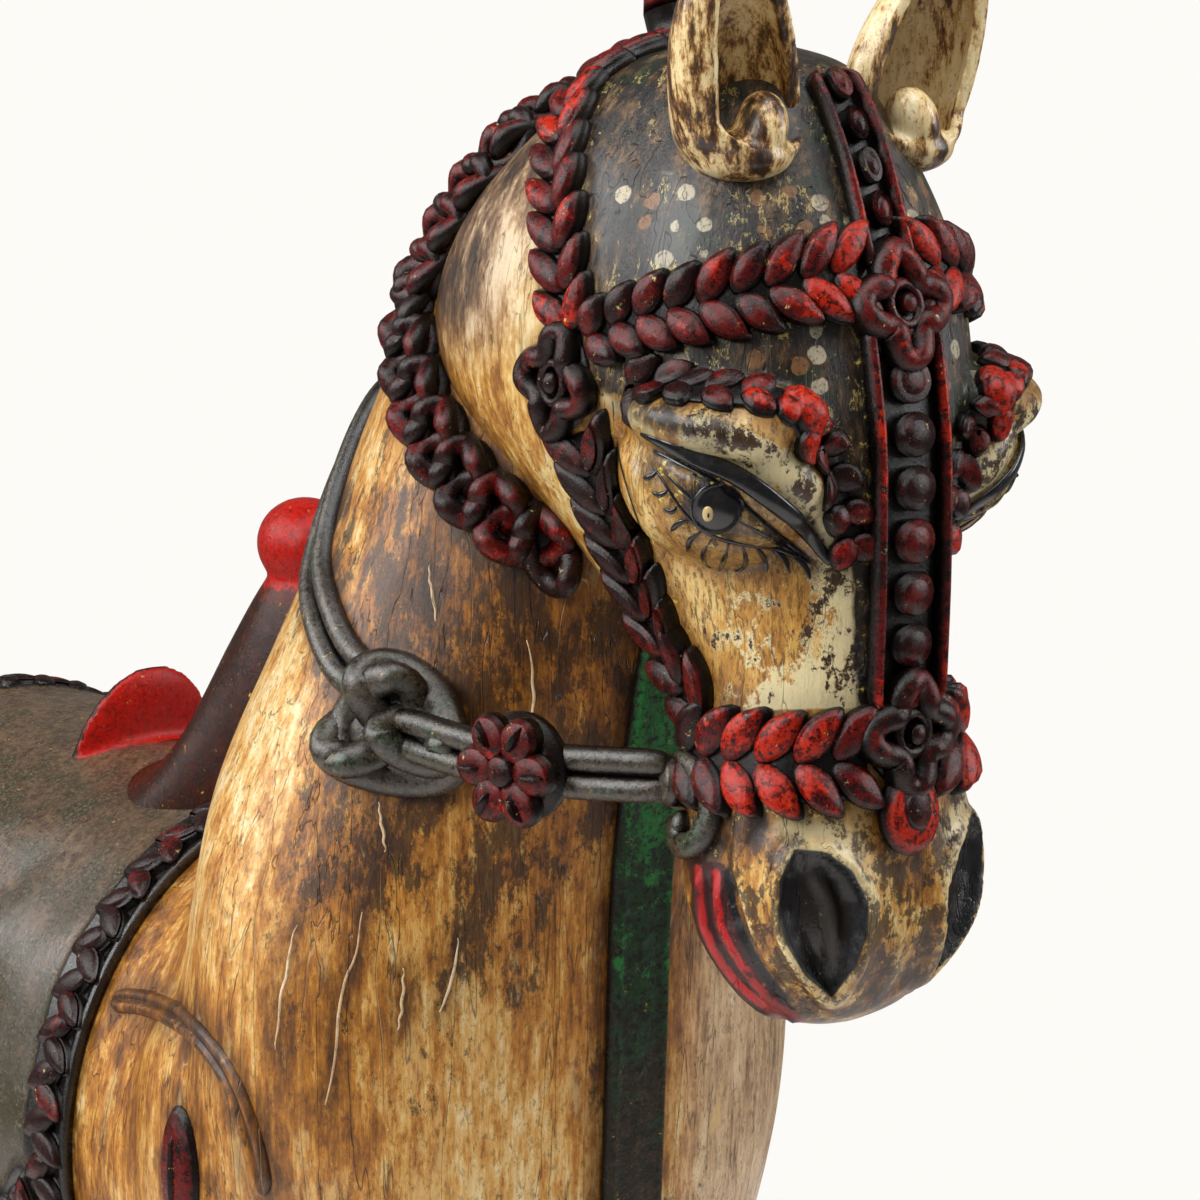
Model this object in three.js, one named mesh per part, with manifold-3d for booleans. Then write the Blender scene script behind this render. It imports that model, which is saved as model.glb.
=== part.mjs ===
// Painted wooden horse: horse, bridle, reins, saddle and saddle cloth carved in one, standing on a plinth.
// Millimetres, +Z up. The horse faces -Y, its right side is -X, and the origin is the middle of the
// plinth's underside. Places on the horse are (forward, right, up), with up counted from its soles.
import * as THREE from "three";
import { mergeVertices } from "three/addons/utils/BufferGeometryUtils.js";
import Module from "manifold-3d";

const wasm = await Module();
wasm.setup();

// Driving dimensions
const horseHeight = 1115; // soles to ear tips
const plinthLength = 800;
const plinthWidth = 330;
const plinthHeight = 50;
const plinthChamfer = 7;
const standingGap = 0.3; // between the soles and the plinth

const braidWidth = 28; // leaf braids of the bridle
const noseBraidWidth = 36;
const braidRise = 5;
const braidPitch = 24;
const braidSplay = 40; // degrees between a leaf and the band it grows from
const faceStripWidth = 52; // strip down the middle of the face
const faceStripRise = 3;
const faceRidgeWidth = 8;
const faceRidgeRise = 5;
const beadDiameter = 17;
const beadRise = 6;
const beadPitch = 21;
const rosetteDiameter = 46;
const rosetteRise = 9;
const rosettePetals = 5;
const collarWidth = 36;
const collarRise = 9;
const collarLinkPitch = 36;
const reinWidth = 20;
const reinThickness = 11;
const reinRosetteDiameter = 44;
const knotLength = 62;
const chestStrapWidth = 34;
const chestStrapRise = 7;
const clothThickness = 6;
const clothFront = 36; // forward end of the saddle cloth
const clothBack = -292;
const clothHem = 470; // height of its hem
const clothBorderWidth = 26;
const clothBorderPitch = 58;
const saddleKnobDiameter = 52;
const cantleDiameter = 108;
const cantleThickness = 17;
const archWidth = 9; // line carved round the shoulder
const archRise = 4;
const medallionLength = 64;
const medallionWidth = 26;
const medallionRise = 4;

// The horse's form is written for this height and follows horseHeight as a whole
const formHeight = 1115;
const k = horseHeight / formHeight;
const ground = plinthHeight + standingGap;
const degrees = Math.PI / 180;

const world = (forward, right, up) => new THREE.Vector3(-right, -forward, ground + up);
const formPoint = (forward, right, up) => world(forward * k, right * k, up * k);

// Catmull-Rom through rows of numbers, at t from 0 to rows.length - 1
function along(rows, t) {
  const i = Math.min(Math.max(Math.floor(t), 0), rows.length - 2);
  const s = t - i;
  const row = (n) => rows[Math.min(Math.max(n, 0), rows.length - 1)];
  return rows[0].map((_, c) => {
    const [a, b, d, e] = [row(i - 1)[c], row(i)[c], row(i + 1)[c], row(i + 2)[c]];
    const slopeIn = (d - a) / 2;
    const slopeOut = (e - b) / 2;
    return (
      b * (1 + s * s * (2 * s - 3)) +
      d * s * s * (3 - 2 * s) +
      slopeIn * s * (1 - s) * (1 - s) -
      slopeOut * s * s * (1 - s)
    );
  });
}

// The trunk and neck: ends of each section in the side view, half width, and how much the upper end is narrower
const bodyRows = [
  // upper end: forward, up; lower end: forward, up; half width; narrowing
  [-354, 598, -352, 566, 30, 0],
  [-346, 650, -336, 492, 86, 0],
  [-312, 682, -280, 430, 124, 0],
  [-235, 694, -195, 400, 142, 0],
  [-120, 688, -100, 386, 148, 0],
  [-10, 686, 15, 380, 148, 0],
  [42, 692, 135, 384, 148, 0],
  [56, 706, 225, 420, 152, 0.05],
  [60, 730, 258, 500, 156, 0.1],
  [66, 762, 266, 600, 150, 0.15],
  [82, 806, 270, 690, 125, 0.16],
  [100, 856, 280, 757, 100, 0.16],
  [124, 908, 292, 812, 82, 0.12],
  [154, 960, 304, 852, 70, 0.08],
  [196, 1008, 316, 890, 60, 0],
  [262, 1036, 340, 940, 52, 0],
  [330, 1040, 370, 990, 30, 0],
];
// The head, in level sections from the poll down to the chin
const headRows = [
  // up; front; back; half width; squareness
  [1058, 352, 300, 16, 2],
  [1048, 383, 272, 44, 2],
  [1020, 402, 236, 66, 2.2],
  [990, 414, 208, 80, 2.5],
  [960, 424, 190, 86, 2.6],
  [932, 430, 186, 87, 2.6],
  [905, 434, 196, 84, 2.4],
  [875, 435, 228, 75, 2.1],
  [845, 435, 264, 63, 2.1],
  [815, 434, 298, 54, 2.2],
  [785, 433, 332, 53, 2.4],
  [755, 434, 343, 58, 2.7],
  [728, 437, 348, 62, 3],
  [703, 436, 352, 60, 3],
  [683, 429, 358, 50, 2.6],
  [667, 418, 366, 38, 2.2],
  [659, 405, 380, 16, 2],
];
// Legs, in level sections: up; middle; half depth; half width; distance from the middle of the horse
const foreLegRows = [
  [632, 132, 14, 14, 122],
  [620, 131, 42, 34, 115],
  [592, 131, 64, 46, 110],
  [545, 132, 74, 52, 106],
  [490, 134, 70, 51, 102],
  [430, 138, 56, 45, 98],
  [370, 142, 42, 37, 94],
  [300, 146, 33, 31, 92],
  [262, 147, 33, 32, 92],
  [235, 148, 33, 32, 92],
  [205, 148, 25, 25, 92],
  [140, 150, 22, 22, 92],
  [95, 151, 27, 26, 92],
  [68, 155, 24, 24, 92],
  [50, 159, 32, 30, 92],
  [0, 165, 42, 38, 92],
];
const hindLegRows = [
  [640, -236, 18, 14, 122],
  [625, -236, 54, 36, 115],
  [590, -236, 82, 48, 110],
  [535, -237, 98, 54, 104],
  [470, -232, 92, 52, 102],
  [410, -222, 72, 46, 98],
  [350, -222, 54, 38, 95],
  [300, -236, 42, 32, 93],
  [262, -254, 37, 30, 92],
  [235, -262, 34, 28, 92],
  [200, -258, 27, 25, 92],
  [140, -248, 23, 22, 92],
  [95, -243, 28, 26, 92],
  [68, -239, 25, 24, 92],
  [50, -234, 32, 30, 92],
  [0, -227, 43, 38, 92],
];
// The tail, from the dock to its tip: outer side, inner side, half width
const tailRows = [
  [-322, 690, -325, 645, 20],
  [-372, 690, -346, 640, 29],
  [-400, 650, -354, 600, 34],
  [-410, 580, -354, 545, 36],
  [-406, 480, -350, 452, 38],
  [-393, 380, -341, 362, 34],
  [-378, 300, -339, 286, 25],
  [-364, 240, -343, 233, 10],
];
// The saddle, from the back of the seat to the front of the horn: top, underside, half width
const saddleRows = [
  [-170, 690, -165, 640, 40],
  [-160, 706, -160, 620, 66],
  [-130, 712, -130, 610, 72],
  [-95, 706, -95, 610, 72],
  [-62, 722, -60, 610, 70],
  [-34, 758, -25, 610, 62],
  [-8, 796, 20, 612, 50],
  [18, 812, 44, 625, 42],
  [40, 806, 56, 650, 30],
  [47, 792, 58, 690, 12],
];

const oval = (middle, half, angle, squareness, trig) => {
  const v = trig(angle);
  return middle + half * Math.sign(v) * Math.abs(v) ** (2 / squareness);
};

// A surface is a function of (t, angle): t runs along it, and angle goes round it, positive on the horse's right
const paired = (rows) => (t, angle) => {
  const [af, au, bf, bu, half, narrowing = 0] = along(rows, t);
  const c = Math.cos(angle);
  const wide = half * Math.sin(angle) * (1 - narrowing * c);
  return formPoint((af + bf) / 2 + ((af - bf) / 2) * c, wide, (au + bu) / 2 + ((au - bu) / 2) * c);
};
const body = paired(bodyRows);
const head = (t, angle) => {
  const [up, front, back, half, square] = along(headRows, t);
  const forward = oval((front + back) / 2, (front - back) / 2, angle, square, Math.cos);
  return formPoint(forward, oval(0, half, angle, square, Math.sin), up);
};
// The place along the head's sections of a height
function headT(up) {
  const i = Math.max(headRows.findIndex((row) => row[0] <= up), 1);
  return i - 1 + (headRows[i - 1][0] - up) / (headRows[i - 1][0] - headRows[i][0]);
}
const leg = (rows, side) => (t, angle) => {
  const [up, middle, deep, wide, apart] = along(rows, t);
  return formPoint(middle + deep * Math.cos(angle), side * apart + wide * Math.sin(angle), up);
};

function outward(surface, t, angle, step = 0.02) {
  const a = surface(t, angle + step).sub(surface(t, angle - step));
  const b = surface(t + step, angle).sub(surface(t - step, angle));
  return a.cross(b).normalize();
}

// Rings of points become one closed geometry, with a point in the middle of each end
function ringed(rings) {
  const sides = rings[0].length;
  const centre = (ring) =>
    ring.reduce((sum, p) => sum.add(p), new THREE.Vector3()).divideScalar(sides);
  const points = [...rings.flat(), centre(rings[0]), centre(rings.at(-1))];
  const index = [];
  const first = points.length - 2;
  const last = points.length - 1;
  for (let s = 0; s < sides; s += 1) {
    const next = (s + 1) % sides;
    for (let r = 0; r < rings.length - 1; r += 1) {
      const [a, b] = [r * sides + s, r * sides + next];
      index.push(a, a + sides, b, b, a + sides, b + sides);
    }
    const end = (rings.length - 1) * sides;
    index.push(first, s, next, last, end + next, end + s);
  }
  return new THREE.BufferGeometry().setFromPoints(points).setIndex(index);
}

function solid(geometry) {
  const bare = geometry.index ? geometry.toNonIndexed() : geometry.clone();
  bare.deleteAttribute("normal");
  bare.deleteAttribute("uv");
  const merged = mergeVertices(bare, 1e-3);
  const p = merged.attributes.position;
  const triVerts = new Uint32Array(merged.index.array);
  const corner = (i) => new THREE.Vector3().fromBufferAttribute(p, triVerts[i]);
  let volume = 0;
  for (let i = 0; i < triVerts.length; i += 3)
    volume += corner(i).dot(corner(i + 1).cross(corner(i + 2)));
  if (volume < 0)
    for (let i = 0; i < triVerts.length; i += 3)
      [triVerts[i + 1], triVerts[i + 2]] = [triVerts[i + 2], triVerts[i + 1]];
  return new wasm.Manifold(new wasm.Mesh({ numProp: 3, vertProperties: p.array, triVerts }));
}

function skin(surface, count, sides, rings, from = 0) {
  const ring = (t) =>
    Array.from({ length: sides }, (_, s) => surface(t, (s / sides) * 2 * Math.PI));
  const step = (count - 1 - from) / (rings - 1);
  return ringed(Array.from({ length: rings }, (_, r) => ring(from + r * step)));
}

// A path on a surface: control rows of (t, angle) and a lift, on one side of the horse or, with side 0, as written
function pathOn(surface, controls, side = 1, lift = 0) {
  const place = (s) => {
    const [t, angle] = along(controls, s * (controls.length - 1));
    const normal = outward(surface, t, angle * degrees * side);
    const point = surface(t, angle * degrees * side);
    const centre = surface(t, 0).add(surface(t, Math.PI)).divideScalar(2);
    if (normal.dot(point.clone().sub(centre)) < 0) normal.negate();
    return { point: point.addScaledVector(normal, lift), normal };
  };
  return (s) => {
    const { point, normal } = place(s);
    const step = 0.01;
    const tangent = place(Math.min(s + step, 1)).point.sub(place(Math.max(s - step, 0)).point);
    return { point, normal, tangent: tangent.normalize() };
  };
}

function pathLength(path, steps = 24) {
  let length = 0;
  for (let i = 0; i < steps; i += 1)
    length += path(i / steps).point.distanceTo(path((i + 1) / steps).point);
  return length;
}

// Puts a geometry at a place on a path, its X along the path turned by turn, and its Z out of the surface
function placed(geometry, { point, normal, tangent }, { turn = 0, across = 0, lift = 0 } = {}) {
  const side = normal.clone().cross(tangent).normalize();
  const straight = side.clone().cross(normal).normalize();
  const basis = new THREE.Matrix4().makeBasis(straight, side, normal);
  basis.setPosition(point.clone().addScaledVector(side, across).addScaledVector(normal, lift));
  return geometry
    .clone()
    .applyMatrix4(new THREE.Matrix4().makeRotationZ(turn))
    .applyMatrix4(basis);
}

// A bar along a path: half sunk, oval, with its ends rounded by a shorter first and last ring
function bar(path, width, thickness, rings, sides = 6) {
  const endShare = 0.5;
  const ring = (i) => {
    const { point, normal, tangent } = path(i / (rings - 1));
    const side = normal.clone().cross(tangent).normalize();
    const share = i === 0 || i === rings - 1 ? endShare : 1;
    return Array.from({ length: sides }, (_, s) => {
      const angle = ((s + 0.5) / sides) * 2 * Math.PI;
      return point
        .clone()
        .addScaledVector(side, (width / 2) * share * Math.cos(angle))
        .addScaledVector(normal, (thickness / 2) * share * Math.sin(angle));
    });
  };
  return ringed(Array.from({ length: rings }, (_, i) => ring(i)));
}

const leaf = (length, width, rise) =>
  new THREE.OctahedronGeometry(1).scale(length / 2, width / 2, rise);
const bead = (diameter, rise) =>
  new THREE.CylinderGeometry(diameter * 0.3, diameter / 2, 2 * rise, 6).rotateX(Math.PI / 2);

// A carved band along a path: lobes stand up between grooves and scallop its edges, and with a splay they
// run forward from its middle like the leaves of an ear of wheat
function band(path, { width, rise, pitch, splay = 0, plain = false }) {
  const length = pathLength(path);
  const lobes = Math.max(Math.round(length / pitch), 2);
  const forward = ((width / 2) * Math.tan(splay)) / length;
  const crest = plain ? [0.6, 1, 0.6] : [0.5, 1, 0.6, 1, 0.5];
  const groove = crest.map((_, j) => (j === 0 || j === crest.length - 1 ? 0.2 : 0.3));
  const middle = (crest.length - 1) / 2;
  const ring = (i) => {
    const heights = i % 2 ? crest : groove;
    const reach = (width / 2) * (i % 2 ? 1 : 0.9);
    const top = heights.map((height, j) => {
      const share = (j - middle) / middle;
      const s = (i / (2 * lobes)) * (1 - forward) + forward * Math.abs(share);
      const { point, normal, tangent } = path(Math.min(s, 1));
      const side = normal.clone().cross(tangent).normalize();
      return point.addScaledVector(side, share * reach).addScaledVector(normal, height * rise);
    });
    const { point, normal } = path(Math.min(i / (2 * lobes), 1));
    return [...top, point.addScaledVector(normal, -3 * rise)];
  };
  return ringed(Array.from({ length: 2 * lobes + 1 }, (_, i) => ring(i)));
}

const braid = (path, width = braidWidth) =>
  band(path, { width, rise: braidRise, pitch: braidPitch, splay: braidSplay * degrees });

// Petals round a knob, as rings from the knob's top out to the petals' tips and under them
function rosette(place, diameter = rosetteDiameter) {
  const { point, normal, tangent } = place;
  const side = normal.clone().cross(tangent).normalize();
  const straight = side.clone().cross(normal).normalize();
  const profile = [
    // radius on a petal, radius between petals, height on a petal, height between petals
    [0.1, 0.1, 1.2, 1.2],
    [0.22, 0.22, 0.5, 0.4],
    [0.4, 0.38, 0.85, 0.3],
    [0.5, 0.4, 0.2, 0],
    [0.42, 0.36, -1, -1],
  ];
  const points = 2 * rosettePetals;
  return ringed(
    profile.map(([onRadius, offRadius, onHeight, offHeight]) =>
      Array.from({ length: points }, (_, i) => {
        const angle = (i / points) * 2 * Math.PI;
        const [radius, height] = i % 2 ? [offRadius, offHeight] : [onRadius, onHeight];
        return point
          .clone()
          .addScaledVector(straight, radius * diameter * Math.cos(angle))
          .addScaledVector(side, radius * diameter * Math.sin(angle))
          .addScaledVector(normal, height * rosetteRise);
      }),
    ),
  );
}

// A point on the face at a height and an angle from the middle of the face
const onHead = (controls, side, lift = 0) =>
  pathOn(head, controls.map(([up, angle]) => [headT(up), angle]), side, lift);

const cheekRosette = [920, 93];
const browCentre = 968;
const noseCentre = 785;
const bitHeight = 768;

function bridle(side) {
  const cheekTop = onHead([[938, 94], [955, 95], [995, 101], [1036, 108], [1046, 120]], side);
  const cheek = onHead([[778, 98], [795, 102], [830, 106], [870, 101], [902, 95]], side);
  const browBand = onHead([[930, 82], [946, 64], [958, 46], [965, 28], [browCentre, 14]], side);
  const noseBand = onHead([[780, 92], [782, 66], [noseCentre, 40], [noseCentre, 20]], side);
  const browLeaf = onHead([[921, 76], [925, 50], [922, 26], [898, 20], [868, 18], [850, 17]], side);
  const bitScroll = onHead([[772, 98], [755, 96], [735, 97], [722, 102]], side, reinThickness / 4);
  return [
    braid(cheekTop),
    braid(cheek),
    braid(browBand),
    braid(noseBand, noseBraidWidth),
    bar(browLeaf, braidWidth / 2, 2 * braidRise, 8, 5),
    rosette(onHead([cheekRosette, [900, 94]], side)(0)),
    bar(bitScroll, reinWidth, reinThickness * 1.6, 5),
  ];
}

function faceStrip() {
  const strip = onHead([[958, 0], [900, 0], [850, 0], [800, 0]], 1);
  const crown = onHead([[1044, 0], [1030, 0], [1000, 0], [980, 0]], 1);
  const parts = [
    bar(strip, faceStripWidth, 2 * faceStripRise, 6, 4),
    bar(crown, faceStripWidth * 0.8, 2 * faceStripRise, 4, 4),
  ];
  const beaded = (path, ridgeApart) => {
    const beads = Math.max(Math.round(pathLength(path) / beadPitch), 2);
    for (let i = 0; i < beads; i += 1)
      parts.push(placed(bead(beadDiameter, faceStripRise + beadRise), path((i + 0.5) / beads)));
    for (const way of [-1, 1]) {
      const beside = (s) => {
        const place = path(s);
        const across = place.normal.clone().cross(place.tangent).normalize();
        return { ...place, point: place.point.addScaledVector(across, way * ridgeApart) };
      };
      parts.push(bar(beside, faceRidgeWidth, 2 * (faceStripRise + faceRidgeRise), 6, 4));
    }
  };
  beaded(strip, faceStripWidth / 2 - faceRidgeWidth / 2);
  beaded(crown, faceStripWidth * 0.4 - faceRidgeWidth / 2);
  const middle = (up) => onHead([[up, 0], [up - 10, 0]], 1)(0);
  const pendant = leaf(rosetteDiameter * 0.8, rosetteDiameter * 0.7, rosetteRise);
  parts.push(
    rosette(middle(browCentre)),
    rosette(middle(noseCentre)),
    placed(pendant, middle(noseCentre - 28)),
  );
  return parts;
}

// The eyes: a bulge, a lid that hoods it, and the nostrils that are cut into the muzzle
const ball = (sides = 10, rings = 6) => new THREE.SphereGeometry(1, sides, rings);
function eye(side) {
  const at = formPoint(384, side * 54, 890);
  const bulge = ball()
    .scale(36 * k, 46 * k, 38 * k)
    .translate(at.x, at.y, at.z);
  return [bulge];
}
function nostril(side) {
  const at = formPoint(424, side * 54, 706);
  return ball(10, 6)
    .scale(16 * k, 22 * k, 29 * k)
    .rotateZ(-side * 40 * degrees)
    .rotateY(side * 10 * degrees)
    .translate(at.x, at.y, at.z);
}

// An ear: an egg that narrows to a tip, hollowed from the front, with a lobe in its mouth
const earRows = [
  // up; middle; half depth; half width; distance from the middle of the horse
  [1004, 380, 16, 16, 42],
  [1020, 383, 24, 26, 44],
  [1042, 387, 26, 31, 47],
  [1066, 391, 24, 29, 52],
  [1088, 396, 18, 22, 57],
  [1105, 400, 10, 12, 61],
  [1115, 403, 3, 4, 64],
];
const earHollowRows = [
  [1026, 414, 16, 18, 49],
  [1044, 413, 22, 24, 52],
  [1066, 414, 21, 23, 57],
  [1088, 414, 16, 17, 61],
  [1104, 413, 9, 8, 64],
];
function ear(side) {
  const outer = solid(skin(leg(earRows, side), earRows.length, 10, 7));
  const hollow = solid(skin(leg(earHollowRows, side), earHollowRows.length, 8, 5));
  const at = formPoint(402, side * 48, 1036);
  const lobe = ball(8, 5)
    .scale(12 * k, 12 * k, 14 * k)
    .translate(at.x, at.y, at.z);
  return outer.subtract(hollow).add(solid(lobe));
}

// Collar of links round the top of the neck, behind the jaw
const collarControls = [[13.6, 0], [13.2, 40], [12.8, 70], [12.6, 95], [12.7, 130], [12.8, 180]];
const collar = (side) =>
  band(pathOn(body, collarControls, side), {
    width: collarWidth,
    rise: collarRise,
    pitch: collarLinkPitch,
  });

// Reins: from the bit through the air to a rosette, a knot on the neck, and up to a bud on the crest
const reinOnNeck = [[10.85, 122], [10.5, 108], [10.3, 88], [10.4, 62], [10.85, 34], [11.45, 6]];
function rein(side) {
  const lift = reinThickness / 4;
  const neck = pathOn(body, reinOnNeck, side, lift);
  const bit = onHead([[bitHeight, 98], [bitHeight - 10, 98]], side, lift)(0).point;
  const sideways = new THREE.Vector3(-side, 0, 0);
  const rosettePoint = formPoint(302, side * 90, bitHeight - 6);
  const free = new THREE.CatmullRomCurve3([bit, rosettePoint, neck(0.06).point]);
  const span = (s) => ({
    point: free.getPoint(s),
    normal: sideways,
    tangent: free.getTangent(s),
  });
  const flower = { ...span(0.5), point: span(0.5).point.addScaledVector(sideways, 3) };
  const knot = leaf(knotLength, knotLength * 0.8, reinThickness);
  return [
    bar(neck, reinWidth, reinThickness, 10),
    bar(span, reinWidth, reinThickness, 5),
    rosette(flower, reinRosetteDiameter),
    placed(knot, neck(0.12)),
  ];
}

const bud = (at, size) => ball(8, 5).scale(size, size, size * 0.8).translate(at.x, at.y, at.z);

// The strap down the front of the neck and chest
function chestStrap() {
  const path = pathOn(body, [[12.0, 180], [11, 180], [10, 180], [9, 180], [8.1, 180], [7.4, 180]]);
  return bar(path, chestStrapWidth, 2 * chestStrapRise, 9, 8);
}

// The saddle cloth follows the trunk, a thickness proud of it, between its front, back and hem
function cloth() {
  const proud = (clothThickness / k) * 2;
  const grown = bodyRows.map(([af, au, bf, bu, half, narrowing]) => [
    af,
    au + proud / 2,
    bf,
    bu,
    half + proud / 2,
    narrowing,
  ]);
  const trunk = solid(skin(paired(grown), 8, 18, 10));
  const long = (clothFront - clothBack) * k;
  const tall = (horseHeight * 0.7 - clothHem) * k;
  const block = new THREE.BoxGeometry(2 * plinthWidth, long, tall);
  const at = formPoint((clothFront + clothBack) / 2, 0, clothHem);
  block.translate(0, at.y, at.z + tall / 2);
  return trunk.intersect(solid(block));
}

// The place on the trunk of a point in the side view
function control(forward, up) {
  const t = tAt(forward, up);
  return [t, Math.acos(sectionShare(t, up)) / degrees];
}

// A ruffle down the front edge of the cloth and along its hem
function clothBorder(side) {
  const inset = clothBorderWidth / 2 / k;
  const [edge, hem, highest] = [clothFront - inset, clothHem + inset, 672];
  const shares = [0, 0.2, 0.4, 0.6, 0.8, 1];
  const front = shares.map((s) => control(edge, highest + s * (hem - highest)));
  const below = shares.map((s) => control(edge + s * (clothBack - edge), hem));
  const ruffle = { width: clothBorderWidth, rise: clothThickness, pitch: clothBorderPitch, plain: true };
  return [front, below].map((rows) => band(pathOn(body, rows, side, clothThickness / 2), ruffle));
}

// Which section of the trunk passes through a place in the side view, and how far up that section it is
function sectionShare(t, up) {
  const [, au, , bu] = along(bodyRows, t);
  return Math.min(Math.max((up - (au + bu) / 2) / ((au - bu) / 2), -1), 1);
}
function tAt(forward, up) {
  let best = 0;
  let nearest = Infinity;
  for (let t = 1; t < 11; t += 0.05) {
    const [af, , bf] = along(bodyRows, t);
    const away = Math.abs((af + bf) / 2 + ((af - bf) / 2) * sectionShare(t, up) - forward);
    if (away < nearest) [best, nearest] = [t, away];
  }
  return best;
}

// The line round the shoulder, over the top of the foreleg
function shoulderArch(side) {
  const rows = [[52, 612], [84, 627], [128, 620], [164, 592], [186, 550], [190, 500]];
  const path = pathOn(body, rows.map(([forward, up]) => control(forward, up)), side);
  return bar(path, archWidth, 2 * archRise, 8, 4);
}

// Leaf medallions on the shoulder and the haunch
function medallion(rows, up, side) {
  const t = rows.findIndex((row) => row[0] <= up);
  const path = pathOn(leg(rows, side), [[t, 90], [t + 0.5, 90]], 1);
  const place = path(0);
  const out = new THREE.Vector3(-side, 0, 0);
  const at = leg(rows, side)(t, side * Math.PI * 0.5);
  const shape = leaf(medallionLength, medallionWidth, medallionRise);
  return placed(shape, { ...place, point: at, normal: out });
}

function saddle() {
  const seat = solid(skin(paired(saddleRows), saddleRows.length, 10, 11));
  const knobAt = formPoint(22, 0, 812);
  const knob = ball(12, 8)
    .scale(saddleKnobDiameter * 0.42, saddleKnobDiameter * 0.5, saddleKnobDiameter * 0.42)
    .rotateX(24 * degrees)
    .translate(knobAt.x, knobAt.y, knobAt.z);
  const cantleAt = formPoint(-130, 0, 735).setZ(ground + 735 * k - cantleDiameter / 2);
  const cantle = new THREE.CylinderGeometry(
    cantleDiameter / 2,
    cantleDiameter / 2,
    cantleThickness,
    18,
  )
    .rotateX(-14 * degrees)
    .translate(cantleAt.x, cantleAt.y, cantleAt.z);
  return seat.add(solid(knob)).add(solid(cantle));
}

function carvedHorse() {
  const sides = [1, -1];
  const flat = (lists) => lists.flat(2);
  const crest = pathOn(body, [[11.5, 0], [11.6, 0]])(0).point;
  const crown = pathOn(body, [[15.4, 0], [15.5, 0]])(0).point;
  const geometries = flat([
    skin(body, bodyRows.length, 18, 24),
    skin(head, headRows.length, 18, 21),
    skin(paired(tailRows), tailRows.length, 8, 9),
    sides.map((side) => skin(leg(foreLegRows, side), foreLegRows.length, 9, 13)),
    sides.map((side) => skin(leg(hindLegRows, side), hindLegRows.length, 9, 13)),
    sides.map(eye),
    sides.map(bridle),
    faceStrip(),
    sides.map(collar),
    sides.map(rein),
    sides.map(clothBorder),
    sides.map(shoulderArch),
    sides.map((side) => medallion(foreLegRows, 558, side)),
    sides.map((side) => medallion(hindLegRows, 548, side)),
    chestStrap(),
    bud(crest, 17 * k),
    bud(crown, 16 * k),
  ]);
  const joined = wasm.Manifold.union([
    ...geometries.map(solid),
    ...sides.map(ear),
    cloth(),
    saddle(),
  ]);
  return sides.reduce((horse, side) => horse.subtract(solid(nostril(side))), joined);
}

// Drops the slivers and specks that the joins leave, and keeps every feature larger than the tolerance
function geometryOf(manifold, tolerance) {
  const pieces = manifold.simplify(tolerance).decompose();
  const mesh = pieces.reduce((a, b) => (b.volume() > a.volume() ? b : a)).getMesh();
  return new THREE.BufferGeometry()
    .setAttribute("position", new THREE.BufferAttribute(mesh.vertProperties, 3))
    .setIndex(new THREE.BufferAttribute(mesh.triVerts, 1));
}

function plinth() {
  const [x, y] = [plinthWidth / 2 - plinthChamfer, plinthLength / 2 - plinthChamfer];
  const outline = new THREE.Shape([
    new THREE.Vector2(-x, -y),
    new THREE.Vector2(x, -y),
    new THREE.Vector2(x, y),
    new THREE.Vector2(-x, y),
  ]);
  return new THREE.ExtrudeGeometry(outline, {
    depth: plinthHeight - 2 * plinthChamfer,
    bevelThickness: plinthChamfer,
    bevelSize: plinthChamfer,
    bevelSegments: 1,
  }).translate(0, 0, plinthChamfer);
}

function named(name, geometry, color, roughness) {
  const mesh = new THREE.Mesh(
    geometry,
    new THREE.MeshStandardMaterial({ color, roughness, metalness: 0 }),
  );
  mesh.name = name;
  return mesh;
}

const joinTolerance = 1.2;
const statue = new THREE.Group();
statue.add(named("horse", geometryOf(carvedHorse(), joinTolerance), 0xa9803f, 0.45));
statue.add(named("plinth", plinth(), 0x3a3128, 0.6));

export default statue;
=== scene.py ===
# Painted wooden horse on a plinth: one carved block with its bridle, reins, saddle and saddle cloth.
# Places on the horse are (forward, right, up) in millimetres, up counted from its soles. The horse faces -Y.
import math
import bmesh
import bpy
import numpy as np
from mathutils import Matrix, Vector
from mathutils.bvhtree import BVHTree
from mathutils.kdtree import KDTree


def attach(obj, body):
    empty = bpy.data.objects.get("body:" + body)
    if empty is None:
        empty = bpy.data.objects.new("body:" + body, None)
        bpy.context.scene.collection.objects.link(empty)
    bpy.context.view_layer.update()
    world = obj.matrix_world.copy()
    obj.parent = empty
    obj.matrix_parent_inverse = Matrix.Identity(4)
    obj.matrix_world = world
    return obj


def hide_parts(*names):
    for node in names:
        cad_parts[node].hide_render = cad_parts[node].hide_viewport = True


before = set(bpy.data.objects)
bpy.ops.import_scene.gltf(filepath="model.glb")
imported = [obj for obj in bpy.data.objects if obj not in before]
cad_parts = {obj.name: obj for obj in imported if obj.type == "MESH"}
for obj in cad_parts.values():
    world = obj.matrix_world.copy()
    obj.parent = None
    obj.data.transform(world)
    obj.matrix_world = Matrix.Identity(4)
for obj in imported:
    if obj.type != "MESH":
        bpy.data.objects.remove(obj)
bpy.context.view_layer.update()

MM = 0.001
GROUND = 50.3  # the soles over the plinth's underside
rng = np.random.default_rng(7)

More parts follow.
